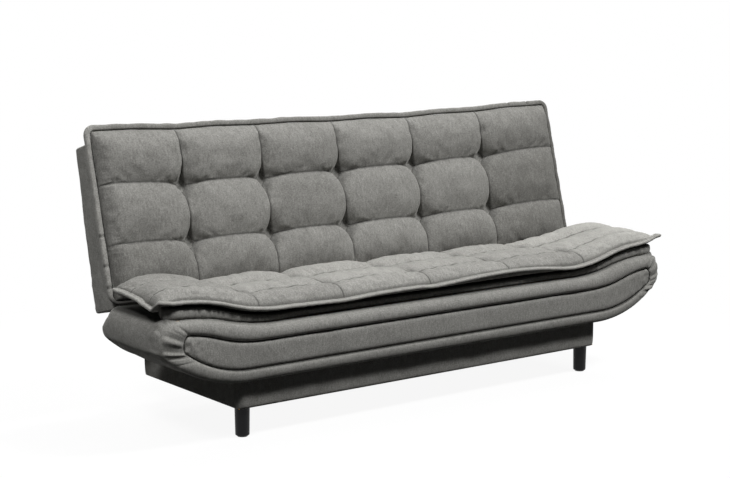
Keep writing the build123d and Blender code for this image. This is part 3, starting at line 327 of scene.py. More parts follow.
velour = brushed_velour()
finishes = {
    # Satin injection-moulded ABS: near black, faint 0.8 mm moulding grain, soft highlight
    "black_plastic": plain_finish("moulded_black_abs", "#0c0c0e", "#141416", 0.8, (1, 1, 1), 0.42,
                                  bump_mm=0.05, mirror=0.22),
    # Hard polyethylene glide, scuffed matt
    "glide_plastic": plain_finish("scuffed_black_polyethylene", "#161616", "#262626", 2.0, (1, 1, 1), 0.6),
    # Pressed-fibre hardboard: brown, 3 mm fibre flecks
    "hardboard": plain_finish("pressed_hardboard", "#6b4a2c", "#86623d", 3.0, (1, 1, 1), 0.7, bump_mm=0.15),
    # Rotary-cut birch plywood: pale, long grain along the sofa, 4 mm wide
    "plywood": plain_finish("birch_plywood", "#b58f60", "#d0b084", 4.0, (0.06, 1, 1), 0.62),
    # Planed pine: yellow-brown, long 6 mm grain bands along the sofa
    "timber": plain_finish("planed_pine", "#a67c4b", "#cfa874", 6.0, (0.05, 1, 1), 0.6),
    # Zinc-plated sheet steel: grey, fine rolled lines 1 mm apart
    "hinge_steel": plain_finish("zinc_plated_sheet", "#8a8c8f", "#b0b2b4", 1.0, (1, 0.08, 1), 0.36,
                                metallic=1.0, bump_mm=0.02),
    # Zinc-plated bolts, a little brighter
    "fastener_steel": plain_finish("zinc_plated_bolts", "#9a9b9d", "#c0c1c2", 1.5, (1, 1, 1), 0.32,
                                   metallic=1.0, bump_mm=0.02),
    # Oiled spring wire: dark, drawn lines
    "spring_wire": plain_finish("oiled_spring_wire", "#3f4042", "#65676a", 1.0, (1, 1, 1), 0.38,
                                metallic=1.0, bump_mm=0.02),
    # Spun-bonded polypropylene dust cloth: black, 5 mm bonded specks
    "dust_cloth": plain_finish("spun_dust_cloth", "#0f0f0f", "#222222", 5.0, (1, 1, 1), 0.9, bump_mm=0.3),
}
for row in frame["record"]["subparts"]:
    if row["material_slot"] in finishes:
        part = frame["nodes"][row["node"]]
        part.data.materials.clear()
        part.data.materials.append(finishes[row["material_slot"]])


# Loops round a cushion

def round_loop(half, depth, corner, count):
    """Closed loop round a rectangle with rounded corners, as X and a distance across from 0 to depth.

    It starts in the middle of the left end, runs along the near side to the right end and comes back along
    the far side, evenly spaced, so that near point i has its partner count - 1 - i on the far side.
    """
    turn = np.linspace(0, math.pi / 2, 24)
    left = np.stack([-half + corner - corner * np.cos(turn), corner - corner * np.sin(turn)], 1)
    right = np.stack([-left[::-1, 0], left[::-1, 1]], 1)
    near = np.concatenate([[[-half, depth / 2]], left, right, [[half, depth / 2]]])
    length = np.concatenate([[0], np.cumsum(np.linalg.norm(np.diff(near, axis=0), axis=1))])
    spots = (np.arange(count // 2) + 0.5) * length[-1] / (count // 2)
    half_loop = np.stack([np.interp(spots, length, near[:, k]) for k in (0, 1)], 1)
    back = np.stack([half_loop[::-1, 0], depth - half_loop[::-1, 1]], 1)
    return np.concatenate([half_loop, back])


def seat_far(x):
    """Rear edge of the seat cushion: it steps forward where the ends rise, clear of the back."""
    return SEAT_FAR - REAR_CUT * lift(x, SEAT_RISE) / SEAT_RISE[0]


def seat_edge_height(x, y):
    """Height of the sewn edge above the pad's underside: the front wave fades to level at the rear, and the
    waves of the two ends take over within 18 mm of them; the front wave is evened out over 50 mm."""
    share = np.clip((y - SEAT_NEAR) / (seat_far(x) - SEAT_NEAR), 0, 1)
    front = sum(np.interp(x + shift, *FRONT_WAVE.T) for shift in (-24, -12, 0, 12, 24)) / 5
    level = front + (REAR_WAVE - front) * share
    end = np.where(x < 0, np.interp(y, *LEFT_WAVE.T), np.interp(y, *RIGHT_WAVE.T))
    return level + (end - level) * np.exp(-np.clip(SEAT_HALF - np.abs(x), 0, None) / 18.0)


def seat_ring(half, near, far_gap, corner, count):
    """Loop round the seat cushion in plan, with the rear edge where the cushion has it."""
    depth = SEAT_FAR + far_gap - near
    loop = round_loop(half, depth, corner, count)
    x = loop[:, 0]
    y = near + loop[:, 1] / depth * (seat_far(x) + far_gap - near)
    return np.stack([x, y, np.zeros(count)], 1)


def back_top(x):
    """Upper edge of the back pad up the slab: through its heights at the seams, 3 mm higher between them."""
    column = np.interp(x, BACK_SEAMS, np.arange(COLUMNS + 1))
    return np.interp(x, BACK_SEAMS, BACK_TOPS) + 3.0 * np.sin(column * math.pi) ** 2


def back_ring(half, near, far_gap, corner, n, count):
    """Loop round the back cushion in the slab, a distance out of it, following the pad's upper edge."""
    reach = BACK_TOPS[0] + far_gap - near
    loop = round_loop(half, reach, corner, count)
    x = loop[:, 0]
    drawn_in = RIGHT_SHORT * np.clip((x - 600.0) / 325.0, 0, 1)
    return on_slab(x - drawn_in, near + loop[:, 1] / reach * (back_top(x) + far_gap - near), n)


def outward_of(path, up):
    """Unit vectors pointing out of a closed loop: its tangent turned about the up direction."""
    tangent = unit(np.roll(path, -1, 0) - np.roll(path, 1, 0))
    return unit(np.cross(tangent, up))


def carried(path, outward, up, profile_out, profile_up):
    """Profile carried round a loop: each path point plus outward and upward parts of the profile.

    The profile's parts have one row for each path point and one column for each profile point.
    """
    return path[:, None] + profile_out[..., None] * outward[:, None] + profile_up[..., None] * up


def loop_length(path):
    """Distance along a closed loop at each of its points."""
    steps = np.linalg.norm(np.roll(path, -1, 0) - path, axis=1)
    return np.concatenate([[0], np.cumsum(steps)[:-1]])


def unrolled(along):
    """Loop laid out as a circle of its own length, so that waves along it close, from distances along it."""
    angle = along / along[-1] * 2 * math.pi
    circle = np.stack([np.cos(angle), np.sin(angle)], 1)
    return circle * along[-1] / (2 * math.pi)


def ladder(count, profile, at):
    """Quads that close a carried profile across the loop at one profile point, from near side to far side."""
    i = np.arange(count // 2 - 1)
    near = i * profile + at
    near_next = (i + 1) * profile + at
    far = (count - 1 - i) * profile + at
    far_next = (count - 2 - i) * profile + at
    return np.stack([near, near_next, far_next, far], 1)


def flange(name, path, up, width, thick, seed, stitches, slits, gather, size, lie_and_painted_light, painted_gap_shade):
    """Soft sewn edge: a flat oval carried round a loop, with gathers that run in from its outer rim.

    The oval is a superellipse; stitches are grooves along it at given distances from its middle, each with the
    strength of the painted shade in its groove; slits are short dips of the rim at given distances along the
    loop, painted dark as shade; gathers are waves along the loop; size is a share of the full section at each
    point of the loop, lie says how the pile lies there, with painted light and shade in it, and dim how much
    painted shade lies there. The underside of the oval is painted a little dark as shade.
    """
    count = len(path)
    outward = outward_of(path, up)
    along = loop_length(path)
    turn = np.linspace(0, 2 * math.pi, 48, endpoint=False)
    across = np.sign(np.cos(turn)) * np.abs(np.cos(turn)) ** 0.8
    over = np.sign(np.sin(turn)) * np.abs(np.sin(turn)) ** 0.75
    ring = unrolled(along)
    gathers = ripple(ring, 22.0, seed + 1) + 0.8 * ripple(ring, 12.0, seed + 2)
    rim = ripple(ring, 60.0, seed + 3)
    outer = 0.5 + 0.5 * across
    cut = sum(np.exp(-((along - spot) / 4.0) ** 2) for spot in slits) if len(slits) else np.zeros(count)
    out = across * width / 2 + (0.7 * rim - 2.6 * cut)[:, None] * outer
    high = over * thick / 2 * (1.0 - 0.3 * cut[:, None])
    high = high + gather * (gathers + rim)[:, None] * outer * np.abs(over)
    # Painted shade: the oval's underside a little dark, its slits darker, its stitch grooves as dark as each
    # stitch says, and the whole section as dark as dim says
    dark = np.maximum(0.30 * (over < -0.4), 0.75 * cut[:, None] * outer)
    for spot, spread, depth in stitches:
        line = np.exp(-((across * width / 2 - spot) / spread) ** 2) * (over > 0)
        high = high - 0.9 * line
        dark = np.maximum(dark, depth * line)
    dark = np.maximum(dark, np.broadcast_to(painted_gap_shade, count)[:, None])
    size = np.broadcast_to(size, count)[:, None]
    points = carried(path, outward, up, out * size, high * size)
    nap_and_painted_light = np.broadcast_to(np.broadcast_to(lie_and_painted_light, count)[:, None], out.shape)
    return new_piece(name, points, grid_quads(count, len(turn), True, True), velour, dark, nap_and_painted_light)


def gathered_band(name, path, up, low, high, neck, bulge, seed):
    """Stuffed band under a cushion: a rounded side wall with upright puckers, closed above and below.

    The wall is a half superellipse between two heights, given for each point of the loop; the puckers are
    waves along the band, deepest at its upper seam; a neck as high as given stands on it, set in.
    """
    count = len(path)
    outward = outward_of(path, up)
    ring = unrolled(loop_length(path))
    turn = np.linspace(-math.pi / 2, math.pi / 2, 17)
    side = np.abs(np.cos(turn)) ** 0.6
    fine = 0.9 * ripple(ring, 16.0, seed) + 0.9 * ripple(ring, 34.0, seed + 1)
    slow = 0.6 * ripple(ring, 150.0, seed + 2)
    upper = 0.35 + 0.65 * (turn + math.pi / 2) / math.pi
    out = bulge * side * (1 + 0.13 * fine[:, None] * upper + 0.15 * slow[:, None])
    middle = np.broadcast_to((low + high) / 2, count)[:, None]
    reach = np.broadcast_to((high - low) / 2, count)[:, None]
    tall = middle + reach * np.sign(turn) * np.abs(np.sin(turn)) ** 0.9
    out = np.concatenate([out, np.full((count, 2), -2.0 * bulge)], 1)
    tall = np.concatenate([tall, tall[:, -1:] - 0.5, tall[:, -1:] + neck], 1)
    points = carried(path, outward, up, out, tall)
    # Painted shade: dark along the upper and lower seams and near-black on the closing faces, where the band
    # lies in shade
    dark = np.broadcast_to(np.append(0.8 * np.abs(np.sin(turn)) ** 8, [0.95, 0.95]), out.shape)
    size = out.shape[1]
    faces = np.concatenate([grid_quads(count, size, True), ladder(count, size, 0)[:, ::-1],
                            ladder(count, size, size - 1)])
    return new_piece(name, points, faces, velour, dark)


# Tufted pads

def cell_steps(count, steps):
    """Places across a row of cells, one unit a cell, closer together beside the seams."""
    share = np.linspace(0, 1, steps + 1)[:-1]
    share = share - 0.5 * np.sin(2 * math.pi * share) / (2 * math.pi)
    return np.append((np.arange(count)[:, None] + share).ravel(), count)


def net(knots_x, knots_v, arch, steps):
    """Grid over a net of seams: X and distance across, and each point's cell and place in it.

    The seams' crossings are given by column and row; places between them are mixed in both directions, and
    each cross seam arches by a parabola from crossing to crossing.
    """
    column, row = np.meshgrid(cell_steps(COLUMNS, steps[0]), cell_steps(ROWS, steps[1]), indexing="ij")
    i = np.minimum(column.astype(int), COLUMNS - 1)
    j = np.minimum(row.astype(int), ROWS - 1)
    f, g = column - i, row - j
    x, v = ((1 - f) * (1 - g) * k[i, j] + f * (1 - g) * k[i + 1, j]
            + (1 - f) * g * k[i, j + 1] + f * g * k[i + 1, j + 1] for k in (knots_x, knots_v))
    arch = np.array(arch)
    return x, v + 4 * f * (1 - f) * (arch[j] * (1 - g) + arch[j + 1] * g), i, j, f, g


def tufts(x, v, cell, knots_x, knots_v, crest, seam, knot, edge, runs, upright, round_off, lie_and_painted_light, seed):
    """Height of a tufted pad above its underside, the painted shade of its seams, their crossings and its rim,
    the lie of its pile with painted light and shade in it, and its held points.

    In each cell the cloth stands (1 - r^p)^q of the way from the seam to the crest, where r is the radius
    of the place in the cell on a rounded square of power 4.5; upright seams lie lower, and all sink towards
    their crossings by a^3.5 b^1.8, where a and b are the places across and up the cell, 1 at a seam; the rim
    falls in quarter ellipses with a run for each side; short folds fan out from the crossings, pleats gather
    at the rim, and slow ripples cover all.
    """
    i, j, f, g = cell
    rng = np.random.default_rng(seed)
    outer_x = ((i == 0) & (f < 0.5)) | ((i == COLUMNS - 1) & (f > 0.5))
    outer_v = ((j == 0) & (g < 0.5)) | ((j == ROWS - 1) & (g > 0.5))
    a = np.where(outer_x, 0, np.abs(2 * f - 1))
    b = np.where(outer_v, 0, np.abs(2 * g - 1))
    radius = np.clip((a ** 4.5 + b ** 4.5) ** (1 / 4.5), 0, 1)
    swell = (1 - radius ** round_off[0]) ** round_off[1]
    seam, knot = np.array(seam), np.array(knot)
    seam_level = seam[j] * (1 - g) + seam[j + 1] * g
    knot_level = knot[j] * (1 - g) + knot[j + 1] * g
    seam_level = seam_level - upright * a ** 8
    seam_level = seam_level + (knot_level - seam_level) * a ** 3.5 * b ** 1.8
    full = 1 + rng.uniform(-0.05, 0.05, (COLUMNS, ROWS))[i, j]
    height = seam_level + (np.array(crest)[j] * full - seam_level) * swell
    left, right, near, far = runs
    from_left, from_right = x - x[:1], x[-1:] - x
    from_near, from_far = v - v[:, :1], v[:, -1:] - v
    from_rim = np.minimum(np.minimum(from_left, from_right), np.minimum(from_near, from_far))
    rim = 1.0
    for gap, run in ((from_left, left), (from_right, right), (from_near, near), (from_far, far)):
        rim = rim * np.sqrt(1 - (1 - np.clip(gap / run, 0, 1)) ** 2)
    inner_x, inner_v = knots_x[1:-1, 1:-1].ravel(), knots_v[1:-1, 1:-1].ravel()
    way_x = x[..., None] - inner_x
    way_v = v[..., None] - inner_v
    reach = np.hypot(way_x, way_v)
    fan = np.arctan2(way_v, way_x) * rng.integers(5, 9, len(inner_x))
    folds = np.sin(fan + rng.uniform(0, 6, len(inner_x)))
    height = height + (folds * 1.6 * np.exp(-(reach / 42) ** 2) * reach / (reach + 12)).sum(-1)
    flat = np.stack([x, v], -1)
    height = height + 1.3 * ripple(flat, 130.0, seed + 1) + 0.5 * ripple(flat, 48.0, seed + 2)
    height = edge + (height - edge) * rim
    beside = ripple(v[..., None], 11.0, seed + 3) * np.exp(-np.minimum(from_left, from_right) / 20.0)
    below = ripple(x[..., None], 13.0, seed + 4) * np.exp(-np.minimum(from_near, from_far) / 16.0)
    height = height + 1.5 * (beside + 0.6 * below) * np.sqrt(rim)
    wide = np.diff(knots_x.mean(1))[i]
    deep = np.diff(knots_v.mean(0))[j]
    gap_x = np.where(outer_x, 999.0, np.minimum(f, 1 - f) * wide)
    gap_v = np.where(outer_v, 999.0, np.minimum(g, 1 - g) * deep)
    # Painted shade: dark lines along the seams, dark patches at their crossings and a dark line round the rim,
    # where the cloth lies in shade
    line = np.exp(-(np.minimum(gap_x, gap_v) / 2.8) ** 2)
    dimple = np.exp(-np.hypot(way_x / 17.0, way_v / 27.0).min(-1) ** 2)
    dark = np.maximum(np.maximum(0.72 * line, 0.72 * dimple), 0.4 * np.exp(-(from_rim / 3.5) ** 2))
    # Lie of the pile per cell, with painted light and shade in it, strongest on the crests
    nap_and_painted_light = np.array(lie_and_painted_light).T[i, j] * (0.4 + 0.6 * swell)
    held = (np.minimum(gap_x, gap_v) < 0.01) | (from_rim < 4.0)
    return height, dark, nap_and_painted_light, held


def tufted_pad(name, top, bottom, dark, nap_and_painted_light):
    """Closed pad: its tufted top and a flat underside, joined round the rim, with a cap at each end."""
    stations = len(top)
    ring = np.concatenate([top, bottom[:, ::-1]], 1)
    size = ring.shape[1]
    plain = np.zeros(bottom.shape[:2])
    faces = grid_quads(stations, size, False, True).tolist()
    faces.append(list(range(size)))
    faces.append([(stations - 1) * size + k for k in range(size)][::-1])
    dark = np.concatenate([dark, plain], 1)
    nap_and_painted_light = np.concatenate([nap_and_painted_light, plain], 1)
    return new_piece(name, ring, faces, velour, dark, nap_and_painted_light)


SETTLE_FRAMES = 20


def settle(piece, held, pressure, slack, cap):
    """Let the cloth fill out between its seams: a short simulation of cloth a little larger than its shape
    with pressure inside, held at the seams, rim and underside, no point moving more than cap millimetres.
    One subdivision smooths the result."""
    mesh = piece.data
    before = np.empty(len(mesh.vertices) * 3)
    mesh.vertices.foreach_get("co", before)
    group = piece.vertex_groups.new(name="held")
    group.add(np.flatnonzero(held).tolist(), 1.0, "REPLACE")
    cloth = piece.modifiers.new("cloth", "CLOTH")
    cloth.settings.vertex_group_mass = "held"
    cloth.settings.quality = 5
    cloth.settings.mass = 0.15
    cloth.settings.bending_stiffness = 0.2
    cloth.settings.shrink_min = -slack
    cloth.settings.use_pressure = True
    cloth.settings.uniform_pressure_force = pressure
    cloth.settings.effector_weights.gravity = 0.0
    cloth.point_cache.frame_start = 1
    cloth.point_cache.frame_end = SETTLE_FRAMES
    for number in range(1, SETTLE_FRAMES + 1):
        bpy.context.scene.frame_set(number)
    shaped = piece.evaluated_get(bpy.context.evaluated_depsgraph_get())
    after = np.empty_like(before)
    shaped.data.vertices.foreach_get("co", after)
    piece.modifiers.remove(cloth)
    piece.vertex_groups.remove(group)
    bpy.context.scene.frame_set(1)
    moved = (after - before).reshape(-1, 3)
    length = np.linalg.norm(moved, axis=1, keepdims=True)
    moved = moved * np.minimum(1.0, cap * MM / np.maximum(length, 1e-9))
    mesh.vertices.foreach_set("co", before + moved.ravel())
    mesh.update()
    finer = piece.modifiers.new("finer", "SUBSURF")
    finer.levels = 1
    finer.render_levels = 1


UNDER = 5                 # points across a pad's underside

knots_x = np.repeat(BACK_SEAMS[:, None], ROWS + 1, 1)
knots_v = np.stack([np.full(COLUMNS + 1, BACK_NEAR), BACK_LOWER, BACK_UPPER, BACK_TOPS], 1)
x, v, *cell = net(knots_x, knots_v, (0.0, 8.0, 8.0, 3.0), (40, 30))
height, dark, nap_and_painted_light, held = tufts(x, v, cell, knots_x, knots_v, crest=(46.0, 48.0, 48.0), seam=(36.0,) * 4,
                                knot=(-16.0, -16.0, -18.0, -18.0), edge=6.0, runs=(50.0, 80.0, 84.0, 56.0),
                                upright=6.0, round_off=(3.0, 0.55), lie_and_painted_light=BACK_LIE_AND_PAINTED_LIGHT, seed=11)
# Pleats 13 mm apart beside the first upright seam, in the upper and the lower row
pleat_row = np.where(cell[1] == 1, 0.0, np.sin(np.clip(cell[3], 0, 1) * math.pi))
pleat_gap = x - BACK_SEAMS[1] + 26.0
pleats = np.sin(pleat_gap / 13.0 * 2 * math.pi) * np.exp(-(pleat_gap / 17.0) ** 2)
height = height + 3.6 * pleat_row * pleats
back_face = on_slab(x, v, BACK_LOW + height)
under = np.linspace(0, x.shape[1] - 1, UNDER).astype(int)
back_under = on_slab(x[:, under], v[:, under], np.full((len(x), UNDER), BACK_LOW + 1.0))
back_pad = tufted_pad("back_pad_tufted", back_face, back_under, dark, nap_and_painted_light)
settle(back_pad, np.concatenate([held, np.ones((len(x), UNDER), bool)], 1).ravel(),
       pressure=4.0, slack=0.02, cap=10.0)
fit_out(back_pad, "back", "grey_velour", "back_pad", fill=0.8)

shares = np.array(SEAT_CROSS)
knots_x = SEAT_SEAMS[:, None] * (1 - shares) + SEAT_REAR_SEAMS[:, None] * shares
knots_v = np.repeat((shares * (SEAT_FAR - SEAT_NEAR))[None], COLUMNS + 1, 0)
x, v, *cell = net(knots_x, knots_v, (0.0, 5.0, 5.0, 0.0), (40, 30))
y = SEAT_NEAR + v / (SEAT_FAR - SEAT_NEAR) * (seat_far(x) - SEAT_NEAR)
height, dark, nap_and_painted_light, held = tufts(x, v, cell, knots_x, knots_v, crest=(60.0, 61.0, 66.0),
                                seam=(55.0, 55.0, 53.0, 53.0), knot=(46.0, 46.0, 42.0, 42.0),
                                edge=seat_edge_height(x, y) - 1.0, runs=(105.0, 170.0, 52.0, 22.0),
                                upright=2.0, round_off=(2.4, 0.8), lie_and_painted_light=SEAT_LIE_AND_PAINTED_LIGHT, seed=23)
# The raised ends are a quarter thinner
height = height - 0.26 * (height - seat_edge_height(x, y)) * lift(x, SEAT_RISE) / SEAT_RISE[0]
seat_base = SEAT_LOW + lift(x, SEAT_RISE)
seat_top = np.stack([x, y, seat_base + height], -1)
under = np.linspace(0, x.shape[1] - 1, UNDER).astype(int)
seat_under = np.stack([x, y, seat_base + np.minimum(1.0, seat_edge_height(x, y) - 4.0)], -1)[:, under]
seat_pad = tufted_pad("seat_pad_tufted", seat_top, seat_under, dark, nap_and_painted_light)
settle(seat_pad, np.concatenate([held, np.ones((len(x), UNDER), bool)], 1).ravel(),
       pressure=4.0, slack=0.02, cap=8.0)
fit_out(seat_pad, "seat", "grey_velour", "seat_pad", fill=0.8)

# Sewn edges and bands
UP = np.array([0.0, 0.0, 1.0])
seat_edge = seat_ring(SEAT_HALF + 1.0, SEAT_NEAR - 3.0, far_gap=0.0, corner=20.0, count=1400)
edge_x, edge_y = seat_edge[:, 0], seat_edge[:, 1]
rear_run = np.clip((edge_y - seat_far(edge_x) + 24.0) / 20.0, 0, 1)
# The front corners stick out as small ears, and the right end reaches further
ear = np.exp(-(np.hypot(SEAT_HALF - np.abs(edge_x), edge_y - SEAT_NEAR) / 22.0) ** 2)
edge_x += 6.0 * ear * np.sign(edge_x) + 8.0 * np.clip((edge_x - 900.0) / 85.0, 0, 1)
edge_y -= 6.0 * ear
seat_edge[:, 2] = SEAT_LOW + lift(edge_x, SEAT_RISE) + seat_edge_height(edge_x, edge_y)
# The seat's sewn edge has a lighter pile like the seat's, partly painted light
seat_flange = flange("seat_sewn_edge", seat_edge, UP, width=27.0, thick=12.0, seed=31,
                     stitches=[(0.5, 0.9, 0.6), (5.0, 0.9, 0.5)], slits=[], gather=0.6,
                     size=1.0 - 0.45 * rear_run, lie_and_painted_light=0.4, painted_gap_shade=0.0)
fit_out(seat_flange, "seat", "welt_velour", "seat_welt", fill=0.4)

back_edge = back_ring(BACK_HALF + 10.0, BACK_NEAR - 5.0, far_gap=10.0, corner=24.0, n=BACK_LOW + 5.0,
                      count=1300)
up_back = (back_edge - on_slab(0.0, 0.0, 0.0)) @ UP_SLAB
# Painted shade: the lower run, where it meets the seat, is painted dark as the gap's shade; its pile is set
# lighter at the left end and darkest at the right end, as painted light and shade
back_flange = flange("back_sewn_edge", back_edge, OFF_SLAB, width=19.0, thick=17.0, seed=41,
                     stitches=[(-8.0, 1.6, 0.3)],
                     slits=[60.0, 150.0, 215.0, 2700.0, 2790.0, 4860.0, 4925.0], gather=0.5,
                     size=np.interp(up_back, [24.0, 60.0], [0.5, 1.0]),
                     lie_and_painted_light=np.interp(back_edge[:, 0], [-920.0, -890.0, 860.0, 905.0], [0.3, -0.4, -0.4, -1.0]),
                     painted_gap_shade=np.interp(up_back, [30.0, 52.0], [0.85, 0.0]))
fit_out(back_flange, "back", "welt_velour", "back_welt", fill=0.6)

seat_band_path = seat_ring(SEAT_HALF - 22.0, near=-276.0, far_gap=-3.0, corner=40.0, count=1200)
band_x, band_y = seat_band_path[:, 0], seat_band_path[:, 1]
# The band's ends are drawn in behind the corners, and its front runs further forward towards them
behind = np.clip((band_y + 262.0) / 60.0, 0, 1) * np.clip((np.abs(band_x) - 800.0) / 163.0, 0, 1)
band_x -= 66.0 * behind * np.sign(band_x)
band_x += 12.0 * np.clip((band_x - 800.0) / 163.0, 0, 1)
ahead = np.clip((np.abs(band_x) - 500.0) / 350.0, 0, 1) * np.clip((-236.0 - band_y) / 30.0, 0, 1)
band_y -= 14.0 * ahead
seat_band = gathered_band("seat_gathered_band", seat_band_path, UP,
                          low=SHELL_TOP + lift(band_x, SHELL_RISE) + 7.0,
                          high=SEAT_LOW + lift(band_x, SEAT_RISE) - 7.0, neck=11.0, bulge=12.0, seed=51)
fit_out(seat_band, "seat", "grey_velour", "seat_core", fill=0.7)

back_band_path = back_ring(908.0, near=28.0, far_gap=-14.0, corner=24.0, n=0.0, count=700)
back_band = gathered_band("back_gathered_band", back_band_path, OFF_SLAB, low=13.5, high=20.0, neck=2.5,
                          bulge=8.0, seed=61)
fit_out(back_band, "back", "grey_velour", "back_core", fill=0.7)


# Seat shell: rolls and end pads round a boat-shaped panel

def turned(first, way_in, last, way_out, steps):
    """Smooth curve between two points with given end directions: a cubic Bezier reaching 0.42 of the chord."""
    first, last = np.array(first), np.array(last)
    reach = 0.42 * np.linalg.norm(last - first)
    first_hold = first + reach * np.array(way_in)
    last_hold = last - reach * np.array(way_out)
    t = np.linspace(0, 1, steps)[:, None]
    return ((1 - t) ** 3 * first + 3 * (1 - t) ** 2 * t * first_hold + 3 * (1 - t) * t ** 2 * last_hold
            + t ** 3 * last)


def boat(inset, sweep, tip, shoulder, top, climb):
    """Boat-shaped outline as a closed loop of X and Z: level underside, big arc, rounded end, lifted top.

    The right half runs from the middle of the underside to the middle of the top; the left half mirrors it.
    The arc sweeps so many degrees, and two curves round the tip lead to the shoulder, where the top starts.
    """
    bottom = np.stack([np.linspace(0, SHELL_FLAT, 90), np.full(90, SHELL_LOW + inset)], 1)
    angle = np.radians(np.linspace(0, sweep, 50))
    radius = SHELL_ARC - inset
    rise = np.stack([SHELL_FLAT + radius * np.sin(angle), SHELL_LOW + SHELL_ARC - radius * np.cos(angle)], 1)
    heading = (math.cos(angle[-1]), math.sin(angle[-1]))
    shoulder_z = top + float(lift(shoulder, climb))
    low_end = turned(rise[-1], heading, tip, (0, 1), 26)
    high_end = turned(tip, (0, 1), (shoulder, shoulder_z), (-0.99, -0.12), 26)
    back = np.linspace(shoulder, 0, 130)
    lid = np.stack([back, top + lift(back, climb)], 1)
    right = np.concatenate([bottom, rise[1:], low_end[1:], high_end[1:], lid[1:]])
    left = right[::-1][1:-1] * [-1, 1]
    return np.concatenate([right, left])


hull = boat(0.0, 40.0, SHELL_TIP, SHELL_SHOULDER, SHELL_TOP, SHELL_RISE)
panel = boat(PANEL_INSET, 33.0, PANEL_TIP, PANEL_SHOULDER, PANEL_TOP, PANEL_RISE)
hull[:, 0] += np.where(hull[:, 0] > 0, 6.0, -3.0) * (hull[:, 0] / SHELL_TIP[0]) ** 4
panel[:, 0] += PANEL_SHIFT * (panel[:, 0] / PANEL_TIP[0]) ** 4


def seat_shell():
    """Cover of the rolls and the ends: a strip from the panel's seam, round the roll, back along the shell.

    Across the roll it is a half superellipse between the panel's outline and the shell's, squarer below and
    flatter at the ends; then it runs back level, long at the ends and short over the box, and turns in at the
    rear, in a rounding that grows with height. Pleats gather at the tips, where the two rolls meet, and fade
    out over the roll and back along the end. The top rises over the front board and is painted dark under the
    band, as its shade; a painted dark line, also shade, runs along the panel's seam.
    """
    gap = hull - panel
    wide = np.linalg.norm(gap, axis=1)
    away = gap / wide[:, None]
    turn = np.linspace(0, math.pi, 25)
    share = (1 - np.cos(turn)) / 2
    x = np.abs(hull[:, 0])
    end_side = np.exp(-((x - 985.0) / 52.0) ** 2)
    pleat = ripple(hull, 34.0, 71) + 0.6 * ripple(hull, 17.0, 72)
    puff = ripple(hull, 140.0, 73)
    swell = np.sin(turn)
    square = np.interp(hull[:, 1], [SHELL_LOW + 30.0, 320.0], [0.5, 0.8])[:, None]
    bulge = (ROLL_BULGE - 5.0 * end_side)[:, None] * swell ** square
    roll_y = ROLL_SEAM + (ROLL_END - ROLL_SEAM) * share - bulge
    roll_y = roll_y - swell * (0.8 * puff + 3.0 * end_side * pleat)[:, None]
    roll = panel[:, None] + share[None, :, None] * gap[:, None]
    roll = roll + away[:, None] * (swell * 2.4 * (end_side * pleat)[:, None])[..., None]
    end = np.clip((x - BOX_HALF - 1.0) / 3.0, 0, 1)
    rear = BOARD_REAR + (SHELL_REAR - BOARD_REAR) * end
    back = np.linspace(0, 1, 30)[1:]
    back_y = ROLL_END + back * (rear - ROLL_END)[:, None]
    run = np.interp(hull[:, 1], [318.0, 352.0], [26.0, 60.0])[:, None]
    corner = np.clip((back_y - rear[:, None] + run) / run, 0, 1) * end[:, None]
    drawn = (run - 2.0) * (1 - np.sqrt(1 - corner ** 2))
    flat = np.stack(np.broadcast_arrays(hull[:, :1], hull[:, 1:], back_y), -1)
    crumple = ripple(flat, 160.0, 74) + 0.5 * ripple(flat, 70.0, 75)
    proud = end[:, None] * (4.0 * np.sin(back * math.pi) + 1.5 * crumple) - drawn
    proud = proud + (end_side * (1.5 + pleat))[:, None] * 3.6 * np.exp(-((back_y + 296.0) / 48.0) ** 2)
    side = hull[:, None] + away[:, None] * proud[..., None]
    over_board = BOARD_COVER + 5.0 * lift(hull[:, 0], SHELL_RISE) / SHELL_RISE[0]
    over_board = (over_board * np.clip((hull[:, 1] - SHELL_TOP + 20.0) / 20.0, 0, 1))[:, None]
    over_board = over_board * np.clip((back_y + 306.0) / 8.0, 0, 1) * np.clip((-235.0 - back_y) / 40.0, 0, 1)
    side[..., 1] += over_board
    inside = np.array([0.45, 0.9, 1.0])
    spine_x = np.clip(hull[:, 0], -930.0, 930.0)
    spine = np.stack([spine_x, np.interp(np.abs(spine_x), [0, 700, 930], [262.0, 262.0, 345.0])], 1)
    cap = side[:, -1:] + inside[None, :, None] * (spine[:, None] - side[:, -1:])
    cap_y = np.repeat((rear + 1.5 * end)[:, None], len(inside), 1)
    flat_points = np.concatenate([roll, side, cap], 1)
    depth = np.concatenate([roll_y, back_y, cap_y], 1)
    points = np.stack([flat_points[..., 0], depth, flat_points[..., 1]], -1)
    dark = np.zeros(depth.shape)
    # Painted shade: a dark line along the panel's seam, and the top dark under the band, which shades it
    dark[:, :len(turn)] = 0.85 * np.exp(-(share * wide[:, None] / 2.4) ** 2)
    on_top = np.clip((hull[:, 1] - SHELL_TOP + 10.0) / 8.0, 0, 1) * np.clip((972.0 - x) / 10.0, 0, 1)
    dark[:, len(turn):] = 0.85 * on_top[:, None] * np.clip((depth[:, len(turn):] + 304.0) / 8.0, 0, 1)
    return new_piece("seat_shell_cover", points, grid_quads(*depth.shape, True), velour, dark, merge=True)


shell = seat_shell()
fit_out(shell, "seat", "grey_velour", "seat_lower_roll", "seat_upper_roll", "seat_end_pad_left",
        "seat_end_pad_right", fill=0.9)


